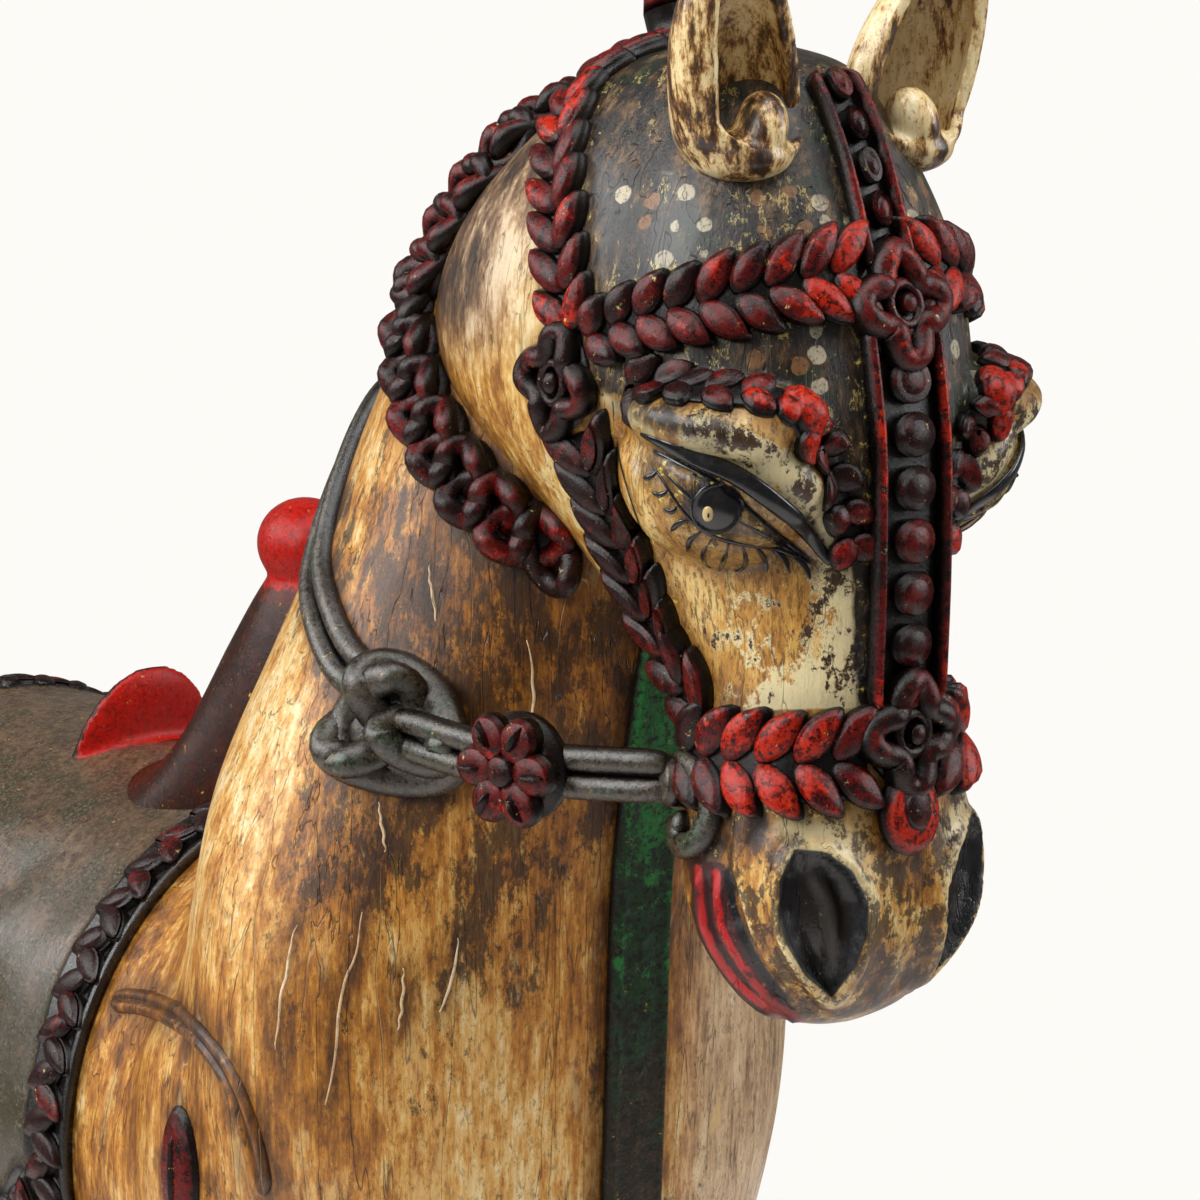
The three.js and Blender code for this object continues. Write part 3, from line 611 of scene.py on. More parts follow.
def plinth_paint():
    # Dark brown paint on a plank block, rubbed to bare wood in patches.
    material, add = finish("worn_umber_paint_on_wood")
    here = add("TexCoord", out="Object")
    grain = add("TexNoise", add("Mapping", here, Scale=(1, 0.06, 1)), Scale=1000 / 8, Detail=6,
                Roughness=0.65)
    blot = add("TexNoise", add("Mapping", here, Scale=(1, 0.5, 1)), Scale=1000 / 40, Detail=9, Roughness=0.74)
    rub = weighed(add, *[(worn, 1) for worn in marked(add, "worn")], (blot, 0.6))
    colour = coats(
        add, add("MixRGB", add("MapRange", grain, 0.4, 0.65, 0, 1, **SOFT), "#3a2a1f", "#1d1512"),
        (add("MapRange", blot, 0.56, 0.66, 0, 0.7, **SOFT), "#6a4a2a"))
    add("MixRGB", add("MapRange", rub, 0.6, 0.9, 0, 1, **SOFT), colour, "#a87c44", onto="Base Color")
    add("MapRange", blot, 0.3, 0.7, 0.35, 0.6, onto="Roughness")
    add("Bump", Strength=0.5, Distance=0.8 * MM, Height=grain, onto="Normal")
    return material


BODY_FINISH = varnished_body()
FACE_FINISH = face_paint()
# Each trim: the coat below, its darker blotches, the gloss colour from worn to bright, chips, dust (paler on
# the cloth, as dust and painted sheen)
RED = trim_paint("worn_vermilion_gloss_enamel", "#2e0c0c", "#170908", ("#5e0d0a", "#a0120a", "#cc3208"),
                 "#e0cc84", "#33221f")
GREEN = trim_paint("worn_green_gloss_enamel", "#39352c", "#4e4336", ("#1d3a24", "#1a6a2a", "#2a8032"),
                   "#d9b32e", "#857a6a", gloss=0.8)
STRAP = trim_paint("dark_green_gloss_enamel", "#1a1f0e", "#3a2c1a", ("#12361a", "#14622a", "#1c7a34"),
                   "#d9b32e", "#3f3a2a")
MAROON = trim_paint("maroon_black_gloss_enamel", "#3c190d", "#25110a", ("#511a0d", "#a0140e", "#b81c12"),
                    "#d9a838", "#54352a", gloss=0.22, grime=0.4)
# The cloth's coats and dust are paler partly as painted sheen, partly as the cloth's own worn colour
CLOTH_FINISH = trim_paint("worn_green_black_gloss_enamel", "#45362a", "#6b553f",
                          ("#35311f", "#22402a", "#35402c"),
                          "#c9a23e", "#a38f7b", gloss=0.8, grime=0.35)
BLACK = black_paint()
CREAM = streaked_cream()
PLINTH = plinth_paint()

# Trunk, neck and legs
SIDES = (1, -1)
bm = bmesh.new()
skin(bm, paired(BODY), len(BODY), 72, 120)
for side in SIDES:
    for rows in (FORE_LEG, HIND_LEG):
        skin(bm, leg(rows, side), len(rows), 32, 90)
body = piece("carved_body", bm, BODY_FINISH)
fused(body, 4.2, 5)

bm = bmesh.new()
skin(bm, head_at, len(HEAD), 96, 120)
for side in SIDES:
    ball(bm, spot(384, side * 54, 892), (39, 46, 38))
    ball(bm, spot(392, side * 58, 914), (39, 42, 18))
head = piece("carved_head", bm, FACE_FINISH)
fused(head, 2.0, 9)


def near_side(obj):
    """A mesh's places and normals, where the near side's frame shows them, and how much they face it."""
    p, n = read(obj.data, "co"), read(obj.data, "normal")
    flip = np.where(p[:, 0] > 0, -1.0, 1.0)
    view = np.array(EYE) - p * np.stack([flip, np.ones(len(p)), np.ones(len(p))], axis=1)
    view /= np.linalg.norm(view, axis=1)[:, None]
    facing = n[:, 0] * flip * view[:, 0] + n[:, 1] * view[:, 1] + n[:, 2] * view[:, 2]
    return p, n, seen(p), np.clip(facing * 4, 0, 1)


def carve(obj, lines):
    """Raises or cuts the wood along lines of frame points: (points, half width, height), in millimetres."""
    p, n, s, facing = near_side(obj)
    shift = np.zeros(len(p))
    for points, half, height in lines:
        d, share = from_line(s, curve_through(points, 6 * len(points)))
        shift += height * bump(d * PX_MM / half) * np.clip(np.minimum(share, 1 - share) * 8 + 0.001, 0, 1)
    write(obj.data, p + n * (shift * facing)[:, None] * MM)


UPPER_LID = [(640, 434), (668, 446), (697, 459), (735, 474), (772, 500), (802, 526), (832, 566)]
LID_FOLD = [(655, 452), (690, 468), (722, 485), (760, 519), (788, 543), (812, 562)]
LOWER_LID = [(648, 459), (668, 488), (688, 518), (712, 536), (745, 545), (780, 550), (812, 564)]
BROW_RIDGE = [(618, 405), (660, 418), (720, 432), (772, 456), (812, 494), (838, 545)]
NOSTRIL = [(795, 850), (826, 853), (852, 872), (868, 903), (866, 935), (855, 965), (832, 997), (806, 975),
           (788, 945), (779, 915), (781, 880)]
LIP_BACK = [(698, 868), (701, 916), (716, 954), (744, 990), (782, 1018)]
LIP_FRONT = [(716, 872), (720, 922), (741, 964), (771, 1001), (803, 1020)]
LIP_MIDDLE = [(707, 868), (710, 918), (729, 960), (758, 996), (792, 1018)]
LIP_INK = [(727, 872), (737, 919), (757, 962), (784, 998)]
carve(head, [
    (BROW_RIDGE, 10, 3.6), (UPPER_LID, 3.0, 1.8), (LID_FOLD, 3.2, -3.4), (LOWER_LID, 4.0, -1.8),
    (NOSTRIL + NOSTRIL[:2], 5.0, 3.0), (LIP_BACK, 3.4, 2.2), (LIP_FRONT, 3.4, 2.6), (LIP_MIDDLE, 3.0, -2.4),
    (LIP_INK, 3.4, -2.6), ([(772, 812), (752, 850), (756, 920), (790, 985), (830, 1015)], 7, -2.0),
    ([(892, 850), (890, 930), (862, 1000)], 7, -1.8), ([(720, 830), (722, 880), (736, 930)], 6, -1.2),
    ([(600, 395), (640, 500), (668, 600), (690, 690)], 4, 1.2),
])
p, n, s, facing = near_side(head)
sunk = np.clip(inside(s, NOSTRIL) * PX_MM / 7, 0, 1)
ridge = brushed_zone(s, (1, 6, curve_through([(812, 862), (835, 900), (842, 940), (833, 985)], 20)))
front = np.clip((0.2 - n[:, 1]) * 3, 0, 1)
write(head.data, p + n * ((1.2 - 9 * sunk ** 0.8 + 3.5 * ridge * sunk) * front)[:, None] * MM)

CAP = [(600, -300), (600, 60), (560, 160), (570, 300), (575, 372), (600, 396), (640, 392), (800, 408),
       (850, 530), (858, 705), (905, 705), (1100, 705), (1100, -300)]
PANEL = [(598, 400), (640, 392), (800, 408), (852, 532), (860, 708), (716, 711), (682, 650), (640, 560),
         (600, 440)]
LIPS = [(690, 858), (726, 864), (735, 918), (756, 962), (790, 1004), (812, 1030), (775, 1036), (738, 1000),
        (709, 960), (692, 916)]
CAP_SPOTS = [
    [(590, 175), (800, 180), (860, 230), (730, 262), (600, 290)],
    [(640, 330), (860, 320), (862, 560), (770, 420), (650, 380)],
    [(935, 180), (1000, 230), (1010, 560), (935, 560)],
]
s = near_side(head)[2]
nostril_edge, lid_edge = (inside(s, outline) * PX_MM for outline in (NOSTRIL, UPPER_LID + LOWER_LID[::-1]))
for name, outline in (("cap", CAP), ("panel", PANEL), ("lips", LIPS)):
    mark(head, name, inside(s, outline) * PX_MM)
mark(head, "inner", np.clip((nostril_edge - 5) / 3, 0, 1))
mark(head, "ink", np.maximum.reduce([nostril_edge + 0.5] + [
    half - from_line(s, curve_through(line, 24))[0] * PX_MM * sharp for half, sharp, line in (
        (1.6, 1, LIP_INK), (1.2, 1, LID_FOLD),
        (0.8, 2, [(612, 400), (622, 470), (655, 570), (690, 672), (712, 706)]))]))
mark(head, "lipline", brushed_zone(s, *((1, 2.6, curve_through(line, 24)) for line in (LIP_BACK, LIP_FRONT))))
mark(head, "rind", brushed_zone(
    s, (1, 3.2, [(786, 872), (796, 850), (822, 848), (850, 862), (868, 888)]),
    (0.7, 1.1, [(782, 930), (796, 962), (826, 998)]), (1, 9, [(790, 828), (830, 832), (850, 850)]),
    (1, 3.2, [(603, 397), (622, 410), (650, 432)])))
mark(head, "pale", brushed_zone(
    s, (1, 15, curve_through([(700, 438), (760, 458), (804, 490), (846, 555)], 20)),
    (0.85, 38, [(862, 580), (856, 690), (800, 712)]), (0.35, 34, [(740, 600), (760, 690)])))
mark(head, "flake", brushed_zone(
    s, (1, 16, [(700, 432), (770, 450), (820, 500), (842, 560), (820, 620), (850, 680)])))
mark(head, "soot", np.maximum(
    brushed_zone(
        s, (1.4, 11, [(632, 402), (670, 418), (716, 430)]), (0.75, 11, [(650, 465), (690, 490), (705, 500)]),
        (0.8, 6, [(735, 520), (775, 540), (815, 568)]), (0.7, 16, [(872, 985), (920, 960), (950, 940)]),
        (0.8, 13, [(690, 815), (750, 822), (775, 840)]), (0.6, 12, [(760, 1010), (830, 1022), (880, 1010)])),
    1.3 * np.clip(lid_edge / 2 + 0.3, 0, 1) * bump((s[:, 0] - 700) / 95)))
mark(head, "greyed", brushed_zone(s, (1, 38, [(570, 90), (520, 150), (478, 220), (462, 300)])))
mark(head, "muzzle", np.clip((s[:, 1] - 780) / 60, 0, 1))
mark(head, "dotted", np.clip(np.maximum.reduce([inside(s, z) for z in CAP_SPOTS]) / 12 + 0.5, 0, 1))


# What is carved on that wood
def tree_of(*objects):
    whole = bmesh.new()
    for obj in objects:
        whole.from_mesh(obj.data)
    tree = BVHTree.FromBMesh(whole)
    whole.free()
    return tree


HEAD_TREE = tree_of(head)
BODY_TREE = tree_of(body)
ALL_TREE = tree_of(head, body)
CARVED = []  # places of all trims, for the dirt and painted shade beside them


class Path:
    """A line on the horse, with its direction and the way out of the wood."""

    def __init__(self, points, outs):
        self.p = [Vector(q) for q in points]
        self.n = [Vector(q) for q in outs]
        last = len(self.n) - 1
        for _ in range(4):
            self.n = [(self.n[max(i - 1, 0)] + q * 2 + self.n[min(i + 1, last)]).normalized()
                      for i, q in enumerate(self.n)]
        self.gaps = [0.0]
        for a, b in zip(self.p, self.p[1:]):
            self.gaps.append(self.gaps[-1] + (b - a).length)
        self.length = self.gaps[-1] / MM

    def at(self, share):
        want = min(max(share, 0), 1) * self.gaps[-1]
        i = min(max(int(np.searchsorted(self.gaps, want)) - 1, 0), len(self.p) - 2)
        f = (want - self.gaps[i]) / max(self.gaps[i + 1] - self.gaps[i], 1e-9)
        out = self.n[i].lerp(self.n[i + 1], f).normalized()
        ahead = (self.p[min(i + 2, len(self.p) - 1)] - self.p[max(i - 1, 0)]).normalized()
        across = out.cross(ahead).normalized()
        return self.p[i].lerp(self.p[i + 1], f), across.cross(out), across, out


def traced(pixels, tree, steps=40):
    """The path on the near side that is seen along these frame points."""
    found = [tree.ray_cast(EYE, ray(x, y))[:2] for x, y in curve_through(pixels, steps)]
    found = [f for f in found if f[0] is not None]
    return Path([f[0] for f in found], [f[1] for f in found])


def laid(points, tree, steps=40):
    """The path on the wood nearest to places in space."""
    found = [tree.find_nearest(spot(*q))[:2] for q in curve_through(points, steps)]
    return Path([f[0] for f in found], [f[1] for f in found])


def joined(first, second):
    return Path(first.p + second.p, first.n + second.n)


def line_of(points, out, steps=24):
    """A free path through places, in metres."""
    return Path(curve_through([tuple(q) for q in points], steps), [out] * (steps + 1))


def form(outline, steps, peak):
    """A small raised form: a circle set to the outline, extruded and drawn in by steps, its crest poked."""
    bm = bmesh.new()
    verts = bmesh.ops.create_circle(bm, cap_ends=True, segments=len(outline), radius=1)["verts"]
    for vert, (a, b) in zip(verts, outline):
        vert.co = (a, b, -0.4)
    bm.faces.ensure_lookup_table()
    face, height, size = bm.faces[0], -0.4, 1.0
    for shrink, up in steps:
        new = bmesh.ops.extrude_face_region(bm, geom=[face])["geom"]
        face = next(g for g in new if isinstance(g, bmesh.types.BMFace))
        bmesh.ops.scale(bm, vec=(shrink / size, shrink / size, 1), verts=face.verts)
        bmesh.ops.translate(bm, vec=(0, 0, up - height), verts=face.verts)
        height, size = up, shrink
    crest = bmesh.ops.poke(bm, faces=[face])["verts"]
    bmesh.ops.translate(bm, vec=(0, 0, peak - height), verts=crest)
    mesh = bpy.data.meshes.new("form")
    bm.to_mesh(mesh)
    bm.free()
    return mesh


def round_outline(count, long=0.5, wide=0.5):
    return [(long * math.cos(a), wide * math.sin(a)) for a in turns(count)]


LEAF_OUTLINE = [(-0.52, -0.04), (-0.36, 0.32), (0.0, 0.5), (0.3, 0.42), (0.52, 0.2), (0.66, 0.0),
                (0.48, -0.2), (0.26, -0.38), (0.0, -0.48), (-0.36, -0.34)]
LEAF, LEAF_MIRRORED = (form(outline, [(1.0, 0.3), (0.9, 0.7), (0.66, 1.0), (0.3, 1.14)], 1.18)
                       for outline in (LEAF_OUTLINE, [(a, -b) for a, b in reversed(LEAF_OUTLINE)]))
KNOB = form(round_outline(10), [(1.0, 0.5), (0.86, 0.86), (0.5, 1.02)], 1.07)
DISC = form(round_outline(12), [(1.0, 0.62), (0.9, 0.84), (0.74, 0.7), (0.62, 0.84), (0.36, 1.0)], 1.02)


class Carving:
    """Raised shapes gathered in one mesh, with how far each point stands out and how bright its paint is."""

    def __init__(self):
        self.bm = bmesh.new()
        self.lift = self.bm.verts.layers.float.new("lift")
        self.bright = self.bm.verts.layers.float.new("bright")

    def add(self, shape, place, bright=0.0):
        start = len(self.bm.verts)
        self.bm.from_mesh(shape)
        self.bm.verts.ensure_lookup_table()
        for vert in self.bm.verts[start:]:
            vert[self.lift], vert[self.bright] = max(vert.co.z, 0.0), bright
            vert.co = place(*vert.co)

    def stamp(self, shape, at, size, bright=0.0, tree=None, rise=lambda a, b: 1.0):
        point, ahead, across, out = at

        def place(a, b, c):
            q = point + (ahead * (a * size[0]) + across * (b * size[1])) * MM
            if tree is not None:
                q = tree.find_nearest(q)[0]
            return q + out * (c * size[2] * rise(a, b) * MM)
        self.add(shape, place, bright)

    def bar(self, path, profile, rings, bright=0.0, ends=0.35, grow=lambda s: 1.0, ground=False):
        """A bar along a path. Its profile holds places (across, out) in millimetres."""
        loops, lifts, glow = [], [], []
        top = max(b for _, b in profile)
        for r in range(rings):
            share = r / (rings - 1)
            point, _, across, out = path.at(share)
            small = (ends if r in (0, rings - 1) else 1) * grow(share)
            loops.append([point + (across * (a * small) + out * (b * small)) * MM for a, b in profile])
            lifts += [0.25 if ground else max(b / top, 0.0) for _, b in profile]
            glow += [bright(share) if callable(bright) else bright] * len(profile)
        for vert, lift, shine in zip(swept(self.bm, loops), lifts, glow):
            vert[self.lift], vert[self.bright] = lift, shine

    def rope(self, centres, outs, radius, bright=0.0, flat=1.2, sides=6):
        """A closed round rope through centres."""
        loops, lifts = [], []
        for i, (centre, out) in enumerate(zip(centres, outs)):
            ahead = (centres[(i + 1) % len(centres)] - centres[i - 1]).normalized()
            across = out.cross(ahead).normalized()
            loops.append([centre + (across * math.cos(b) + out * (flat * math.sin(b))) * (radius * MM)
                          for b in turns(sides)])
            lifts += [0.35 + 0.65 * math.sin(b) for b in turns(sides)]
        for vert, lift in zip(swept(self.bm, loops, closed=True), lifts):
            vert[self.lift], vert[self.bright] = max(lift, 0.0), bright

    def made(self, name, material, mirror=True, rounds=2):
        if mirror:
            bmesh.ops.mirror(self.bm, geom=self.bm.verts[:] + self.bm.edges[:] + self.bm.faces[:], axis="X")
        CARVED.extend(tuple(vert.co) for vert in self.bm.verts)
        obj = piece(name, self.bm, material)
        if rounds:
            modify(obj, "SUBSURF", levels=rounds, render_levels=rounds)
        return obj


def turned(at, angle, shift=(0, 0, 0)):
    point, ahead, across, out = at
    c, s = math.cos(angle), math.sin(angle)
    place = point + (ahead * shift[0] + across * shift[1] + out * shift[2]) * MM
    return place, ahead * c + across * s, across * c - ahead * s, out


def round_profile(half, low, high, count=8):
    return [(half * math.cos(a), low + (high - low) * (0.5 + 0.5 * math.sin(a))) for a in turns(count)]


def braid(carving, path, width, rise, pitch, tree, bright, splay=33):
    """Pairs of leaves along a path, splayed like an ear of wheat, each tip over the next leaf's root."""
    wide = width if callable(width) else lambda share: width
    pairs = max(round(path.length / pitch), 2)
    length = path.length / pairs
    tilt = math.radians(splay)
    carving.bar(path, [(-13, -2), (-12, 1.6), (0, 2.2), (12, 1.6), (13, -2)], pairs * 3, -1.0,
                grow=lambda share: wide(share) / 27, ground=True)
    for i in range(pairs):
        share = (i + 0.5) / pairs
        half = wide(share) / 2
        for way in (-1, 1):
            at = turned(path.at(share), way * tilt * rng.uniform(0.93, 1.07))
            side = path.at(share)[2] * (way * half * 0.5 * MM)
            glow = (bright(share) if callable(bright) else bright) + rng.uniform(-0.14, 0.14)
            size = (half / math.sin(tilt) * rng.uniform(1.0, 1.1), length * math.sin(tilt) * 1.55,
                    rise * rng.uniform(0.92, 1.1))
            carving.stamp(LEAF if way > 0 else LEAF_MIRRORED, (at[0] + side, *at[1:]), size, glow, tree,
                          lambda a, b, way=way: 0.95 + 0.3 * a + 0.25 * b * way)


def quatrefoil(carving, at, long, wide, rise, bright, tree, lobes=4):
    """A rope laid in lobes round a knob, on a sunk disc."""
    point, ahead, across, out = at
    carving.stamp(KNOB, at, (long * 0.9, wide * 0.9, rise * 0.35), -1.0, tree)
    centres = []
    for a in turns(lobes * 9):
        r = 0.5 * (0.68 + 0.2 * math.cos(lobes * a))
        q = point + (ahead * (long * r * math.cos(a)) + across * (wide * r * math.sin(a))) * MM
        centres.append(tree.find_nearest(q)[0] + out * (rise * (0.45 + 0.12 * math.sin(2 * lobes * a)) * MM))
    carving.rope(centres, [out] * len(centres), min(long, wide) * 0.15, bright)
    ring = [point + (ahead * (long * 0.17 * math.cos(a)) + across * (wide * 0.17 * math.sin(a))) * MM
            + out * (rise * 0.5 * MM) for a in turns(12)]
    carving.rope(ring, [out] * 12, min(long, wide) * 0.07, bright - 0.1)
    carving.stamp(KNOB, at, (long * 0.2, wide * 0.2, rise * 1.1), bright - 0.1)


bridle = Carving()
cheek_top = joined(traced([(574, 330), (568, 290), (562, 225), (562, 160), (576, 106)], ALL_TREE),
                   laid([(288, 44, 1040), (292, 28, 1052), (296, 10, 1060), (298, 0, 1062)], ALL_TREE))
cheek_low = traced([(704, 716), (675, 660), (648, 600), (623, 540), (599, 480), (580, 430)], ALL_TREE)
brow_band = traced([(590, 338), (640, 318), (700, 304), (760, 290), (815, 278), (862, 272)], HEAD_TREE)
nose_band = traced([(690, 752), (730, 760), (780, 764), (830, 762), (868, 756)], HEAD_TREE)
brow_leaf = traced([(628, 384), (690, 390), (740, 394), (788, 402), (808, 424), (826, 466), (846, 520),
                    (856, 566)],
                   HEAD_TREE)
braid(bridle, cheek_top, 26, 8.0, 16, ALL_TREE, 0.3)
braid(bridle, cheek_low, 34, 7.0, 17.5, ALL_TREE, 0.08, splay=36)
braid(bridle, brow_band, lambda s: 25 + 13 * s, 7.5, 14.5, HEAD_TREE, lambda s: 0.06 + 0.55 * s ** 2,
      splay=44)
braid(bridle, nose_band, 39, 8.0, 15, HEAD_TREE, lambda s: 0.64 * bump((s - 0.56) / 0.52), splay=46)
quatrefoil(bridle, traced([(558, 425), (562, 380), (568, 335)], ALL_TREE).at(0.5), 52, 42, 8, 0.12, ALL_TREE)
braid(bridle, brow_leaf, lambda s: 22 - 6 * s, 5.0, 14, HEAD_TREE,
      lambda s: 0.05 + 0.5 * bump((s - 0.5) / 0.22) + 0.2 * (s > 0.6), splay=38)
corner = traced([(788, 398), (806, 412), (812, 436)], HEAD_TREE).at(0.5)
bridle.stamp(LEAF, corner, (30, 20, 7), 0.85, HEAD_TREE)
bridle.made("bridle_braids", RED, rounds=1)

# Strip down the face and over the crown
strip = Carving()
face_path = laid([(460, 0, up) for up in (968, 940, 900, 860, 820, 790)], HEAD_TREE)
crown_path = laid([(440, 0, 974), (430, 0, 1000), (420, 0, 1020), (400, 0, 1040), (385, 0, 1050)], HEAD_TREE)
for path, half, beads in ((face_path, 18, 8), (crown_path, 11, 5)):
    strip.bar(path, [(-half - 3, -3), (-half - 2, 1.2), (half + 2, 1.2), (half + 3, -3)], 24, -1.0,
              ground=True)
    for x in (-half, half):
        ridge = [(x - 3.2, -2), (x - 2.9, 3.4), (x - 1.0, 6.2), (x + 1.0, 6.2), (x + 2.9, 3.4), (x + 3.2, -2)]
        strip.bar(path, ridge, 24, lambda share: 0.3 + 0.12 * math.sin(share * 9 + half))
    for i in range(beads):
        at = path.at((i + 0.5) / beads)
        wide = 2 * half - 10
        strip.stamp(DISC, at, (path.length / beads * 0.92, wide * 0.86, 7.5), rng.uniform(0.05, 0.3),
                    HEAD_TREE)
quatrefoil(strip, laid([(460, 0, 976), (460, 0, 966), (460, 0, 956)], HEAD_TREE).at(0.5), 52, 50, 10, 0.3,
           HEAD_TREE)
quatrefoil(strip, laid([(460, 0, 796), (460, 0, 786), (460, 0, 776)], HEAD_TREE).at(0.5), 52, 50, 10, 0.08,
           HEAD_TREE)
at = laid([(460, 0, 764), (460, 0, 755), (460, 0, 746)], HEAD_TREE).at(0.5)
strip.stamp(KNOB, at, (38, 33, 9), 0.5, HEAD_TREE)
strip.stamp(KNOB, turned(at, 0, (-2, 0, 0)), (22, 18, 11), 0.0, HEAD_TREE)
back_knob = laid([(312, 0, 1066), (302, 0, 1064), (290, 0, 1056)], HEAD_TREE).at(0.5)
strip.stamp(KNOB, back_knob, (34, 34, 30), 0.8)
strip.made("face_strip", RED, mirror=False, rounds=1)

# Ears
GAPE, TWIST = math.radians(70), math.radians(-8)  # half the cup's opening, and how far it looks forward
bm = bmesh.new()
for side in SIDES:
    rings = []
    for r in range(34):
        t = r / 33 * (len(EAR) - 1)
        up, middle, deep, wide, apart = along(EAR, t)
        open_up = min(1.0, max(0.0, (t - 0.5) / 0.9))
        thick = min(6.0, 0.42 * min(deep, wide)) / min(deep, wide)
        outline = []
        for i in range(52):
            half = i < 26
            u = i / 25 if half else (51 - i) / 25
            a = GAPE * open_up + (math.tau - 2 * GAPE * open_up) * u + TWIST * open_up
            curl = 1 - 0.1 * open_up * bump(u / 0.12) - 0.1 * open_up * bump((1 - u) / 0.12)
            k = curl if half else curl * (1 - thick * (0.1 + 0.9 * open_up))
            outline.append(spot(middle + deep * k * math.cos(a), side * (apart + wide * k * math.sin(a)), up))
        rings.append(outline)
    swept(bm, rings)
    lean = Matrix.Rotation(math.radians(16 * side), 3, "Y") @ Matrix.Rotation(math.radians(-14), 3, "X")
    ball(bm, spot(393, side * 42, 1028), (10, 12, 15), lean)
    ball(bm, spot(386, side * 45, 1017), (21, 19, 11))
ears = piece("ears", bm, CREAM)
fused(ears, 1.5, 3)
axis = np.array([spot(row[1], row[4], row[0]) for row in EAR])
p, n = read(ears.data, "co"), read(ears.data, "normal")
towards_x = np.interp(p[:, 2], axis[:, 2], axis[:, 0]) * np.sign(p[:, 0]) - p[:, 0]
towards_y = np.interp(p[:, 2], axis[:, 2], axis[:, 1]) - p[:, 1]
facing_in = (towards_x * n[:, 0] + towards_y * n[:, 1]) / (4 * MM)
# The inner faces of the cups, where the paint is made paler as painted light
mark(ears, "cup", np.clip(facing_in, 0, 1) * (p[:, 2] > axis[1, 2]))

# Eyes
eyes = Carving()


def brushed(carving, centre, outline, height, bright=0.0):
    """A thin raised patch of paint round a frame point."""
    def place(a, b, c):
        hit, out = HEAD_TREE.ray_cast(EYE, ray(centre[0] + a, centre[1] + b))[:2]
        return hit + out * (c * height * MM)
    shape = form(outline, [(1.0, 0.35), (0.84, 0.8), (0.5, 1.0)], 1.05)
    carving.add(shape, place, bright)


def stroke(carving, pixels, width, height, rings=14, bright=0.0, tree=HEAD_TREE):
    """A tapered brush line."""
    path = traced(pixels, tree, 24)
    profile = [(-width / 2, -0.5), (-width * 0.35, height), (width * 0.35, height), (width / 2, -0.5)]
    carving.bar(path, profile, rings, bright, 1.0,
                lambda share: 0.12 + 0.88 * math.sin(math.pi * (0.08 + 0.8 * share)))


brushed(eyes, (717, 508), round_outline(12, 28, 27), 1.8)
brushed(eyes, (709, 512), round_outline(10, 6.5, 8.5), 2.8, 1.0)
brushed(eyes, (710, 512), round_outline(8, 1.6, 3.2), 3.6)
LASHES = [
    [(658, 470), (650, 477), (643, 478)], [(668, 490), (660, 495), (652, 492)],
    [(677, 506), (671, 512), (664, 508)], [(692, 520), (680, 522), (671, 531)],
    [(702, 531), (690, 540), (688, 552)], [(713, 538), (703, 552), (706, 566), (712, 568)],
    [(729, 542), (724, 560), (719, 572)],
    [(742, 545), (746, 562), (739, 573), (733, 571)], [(755, 546), (764, 558), (767, 573)],
    [(771, 549), (784, 558), (789, 572)], [(792, 556), (805, 566), (810, 580)],
]
for line, width, height, rings in (
        (UPPER_LID, 10.5, 2.2, 18), (LOWER_LID, 3.0, 0.7, 16), (LID_FOLD, 4.2, 0.8, 16),
        ([(735, 520), (765, 535), (800, 556)], 3.4, 0.5, 10),
        ([(662, 470), (686, 494), (700, 508)], 2.6, 0.5, 8),
        *((lash, 3.1, 0.9, 8) for lash in LASHES)):
    stroke(eyes, line, width, height, rings)
eyes.made("eyes_and_lashes", BLACK, rounds=1)

# Long drying cracks with lifted pale edges
CRACKS = [
    [(362, 912), (356, 950), (345, 985), (336, 1040), (326, 1105)],
    [(296, 925), (288, 960), (280, 1010), (276, 1050)],
    [(458, 938), (452, 975), (440, 1012)], [(404, 968), (402, 1000), (399, 1030)],
    [(428, 565), (431, 590), (436, 622)],
    [(378, 802), (382, 826), (386, 852)], [(480, 268), (486, 310), (500, 356), (514, 392)],
    [(528, 640), (534, 690), (531, 742)],
]
cracks = Carving()
for line in CRACKS:
    ragged = [(x + rng.uniform(-1.6, 1.6), y) for x, y in curve_through(line, 9)]
    stroke(cracks, ragged, 1.7, 0.3, 20, tree=BODY_TREE)
crack_edges = cracks.made("lifted_paint_cracks", BODY_FINISH, rounds=0)
mark(crack_edges, "bare", 0.9)
mark(crack_edges, "dark", -1.0)

# Collar of links
collar = Carving()
collar_path = joined(laid([(232, 0, 1026), (229, 20, 1021), (222, 36, 1004), (205, 44, 980), (186, 51, 946)],
                          BODY_TREE),
                     traced([(420, 318), (422, 370), (440, 430), (478, 488), (522, 528), (560, 556)],
                            BODY_TREE, 40))
collar.bar(collar_path, [(-13, -4), (-11, 2.5), (0, 4), (11, 2.5), (13, -4)], 40, -1.0, ground=True)
count = round(collar_path.length / 23)


def link(carving, at, long, wide, radius, bright):
    point, ahead, across, out = at
    centres = [point + (ahead * (long / 2 * math.cos(a)) + across * (wide / 2 * math.sin(a))
                        + out * (radius * 0.9 * math.sin(2 * a + 0.6))) * MM for a in turns(14)]
    carving.rope(centres, [out] * len(centres), radius, bright, flat=0.9, sides=8)


for i in range(count):
    for place, angle, rise, long, wide, radius, least, most in (
            (0.25, 30, 4, 36, 20, 6.4, 0.02, 0.4), (0.75, -34, 5, 33, 18, 6.2, -0.1, 0.24)):
        at = turned(collar_path.at((i + place) / count), math.radians(angle), (0, 0, rise))
        link(collar, at, long, wide, radius, rng.uniform(least, most))
collar.made("chain_collar", RED, rounds=1)

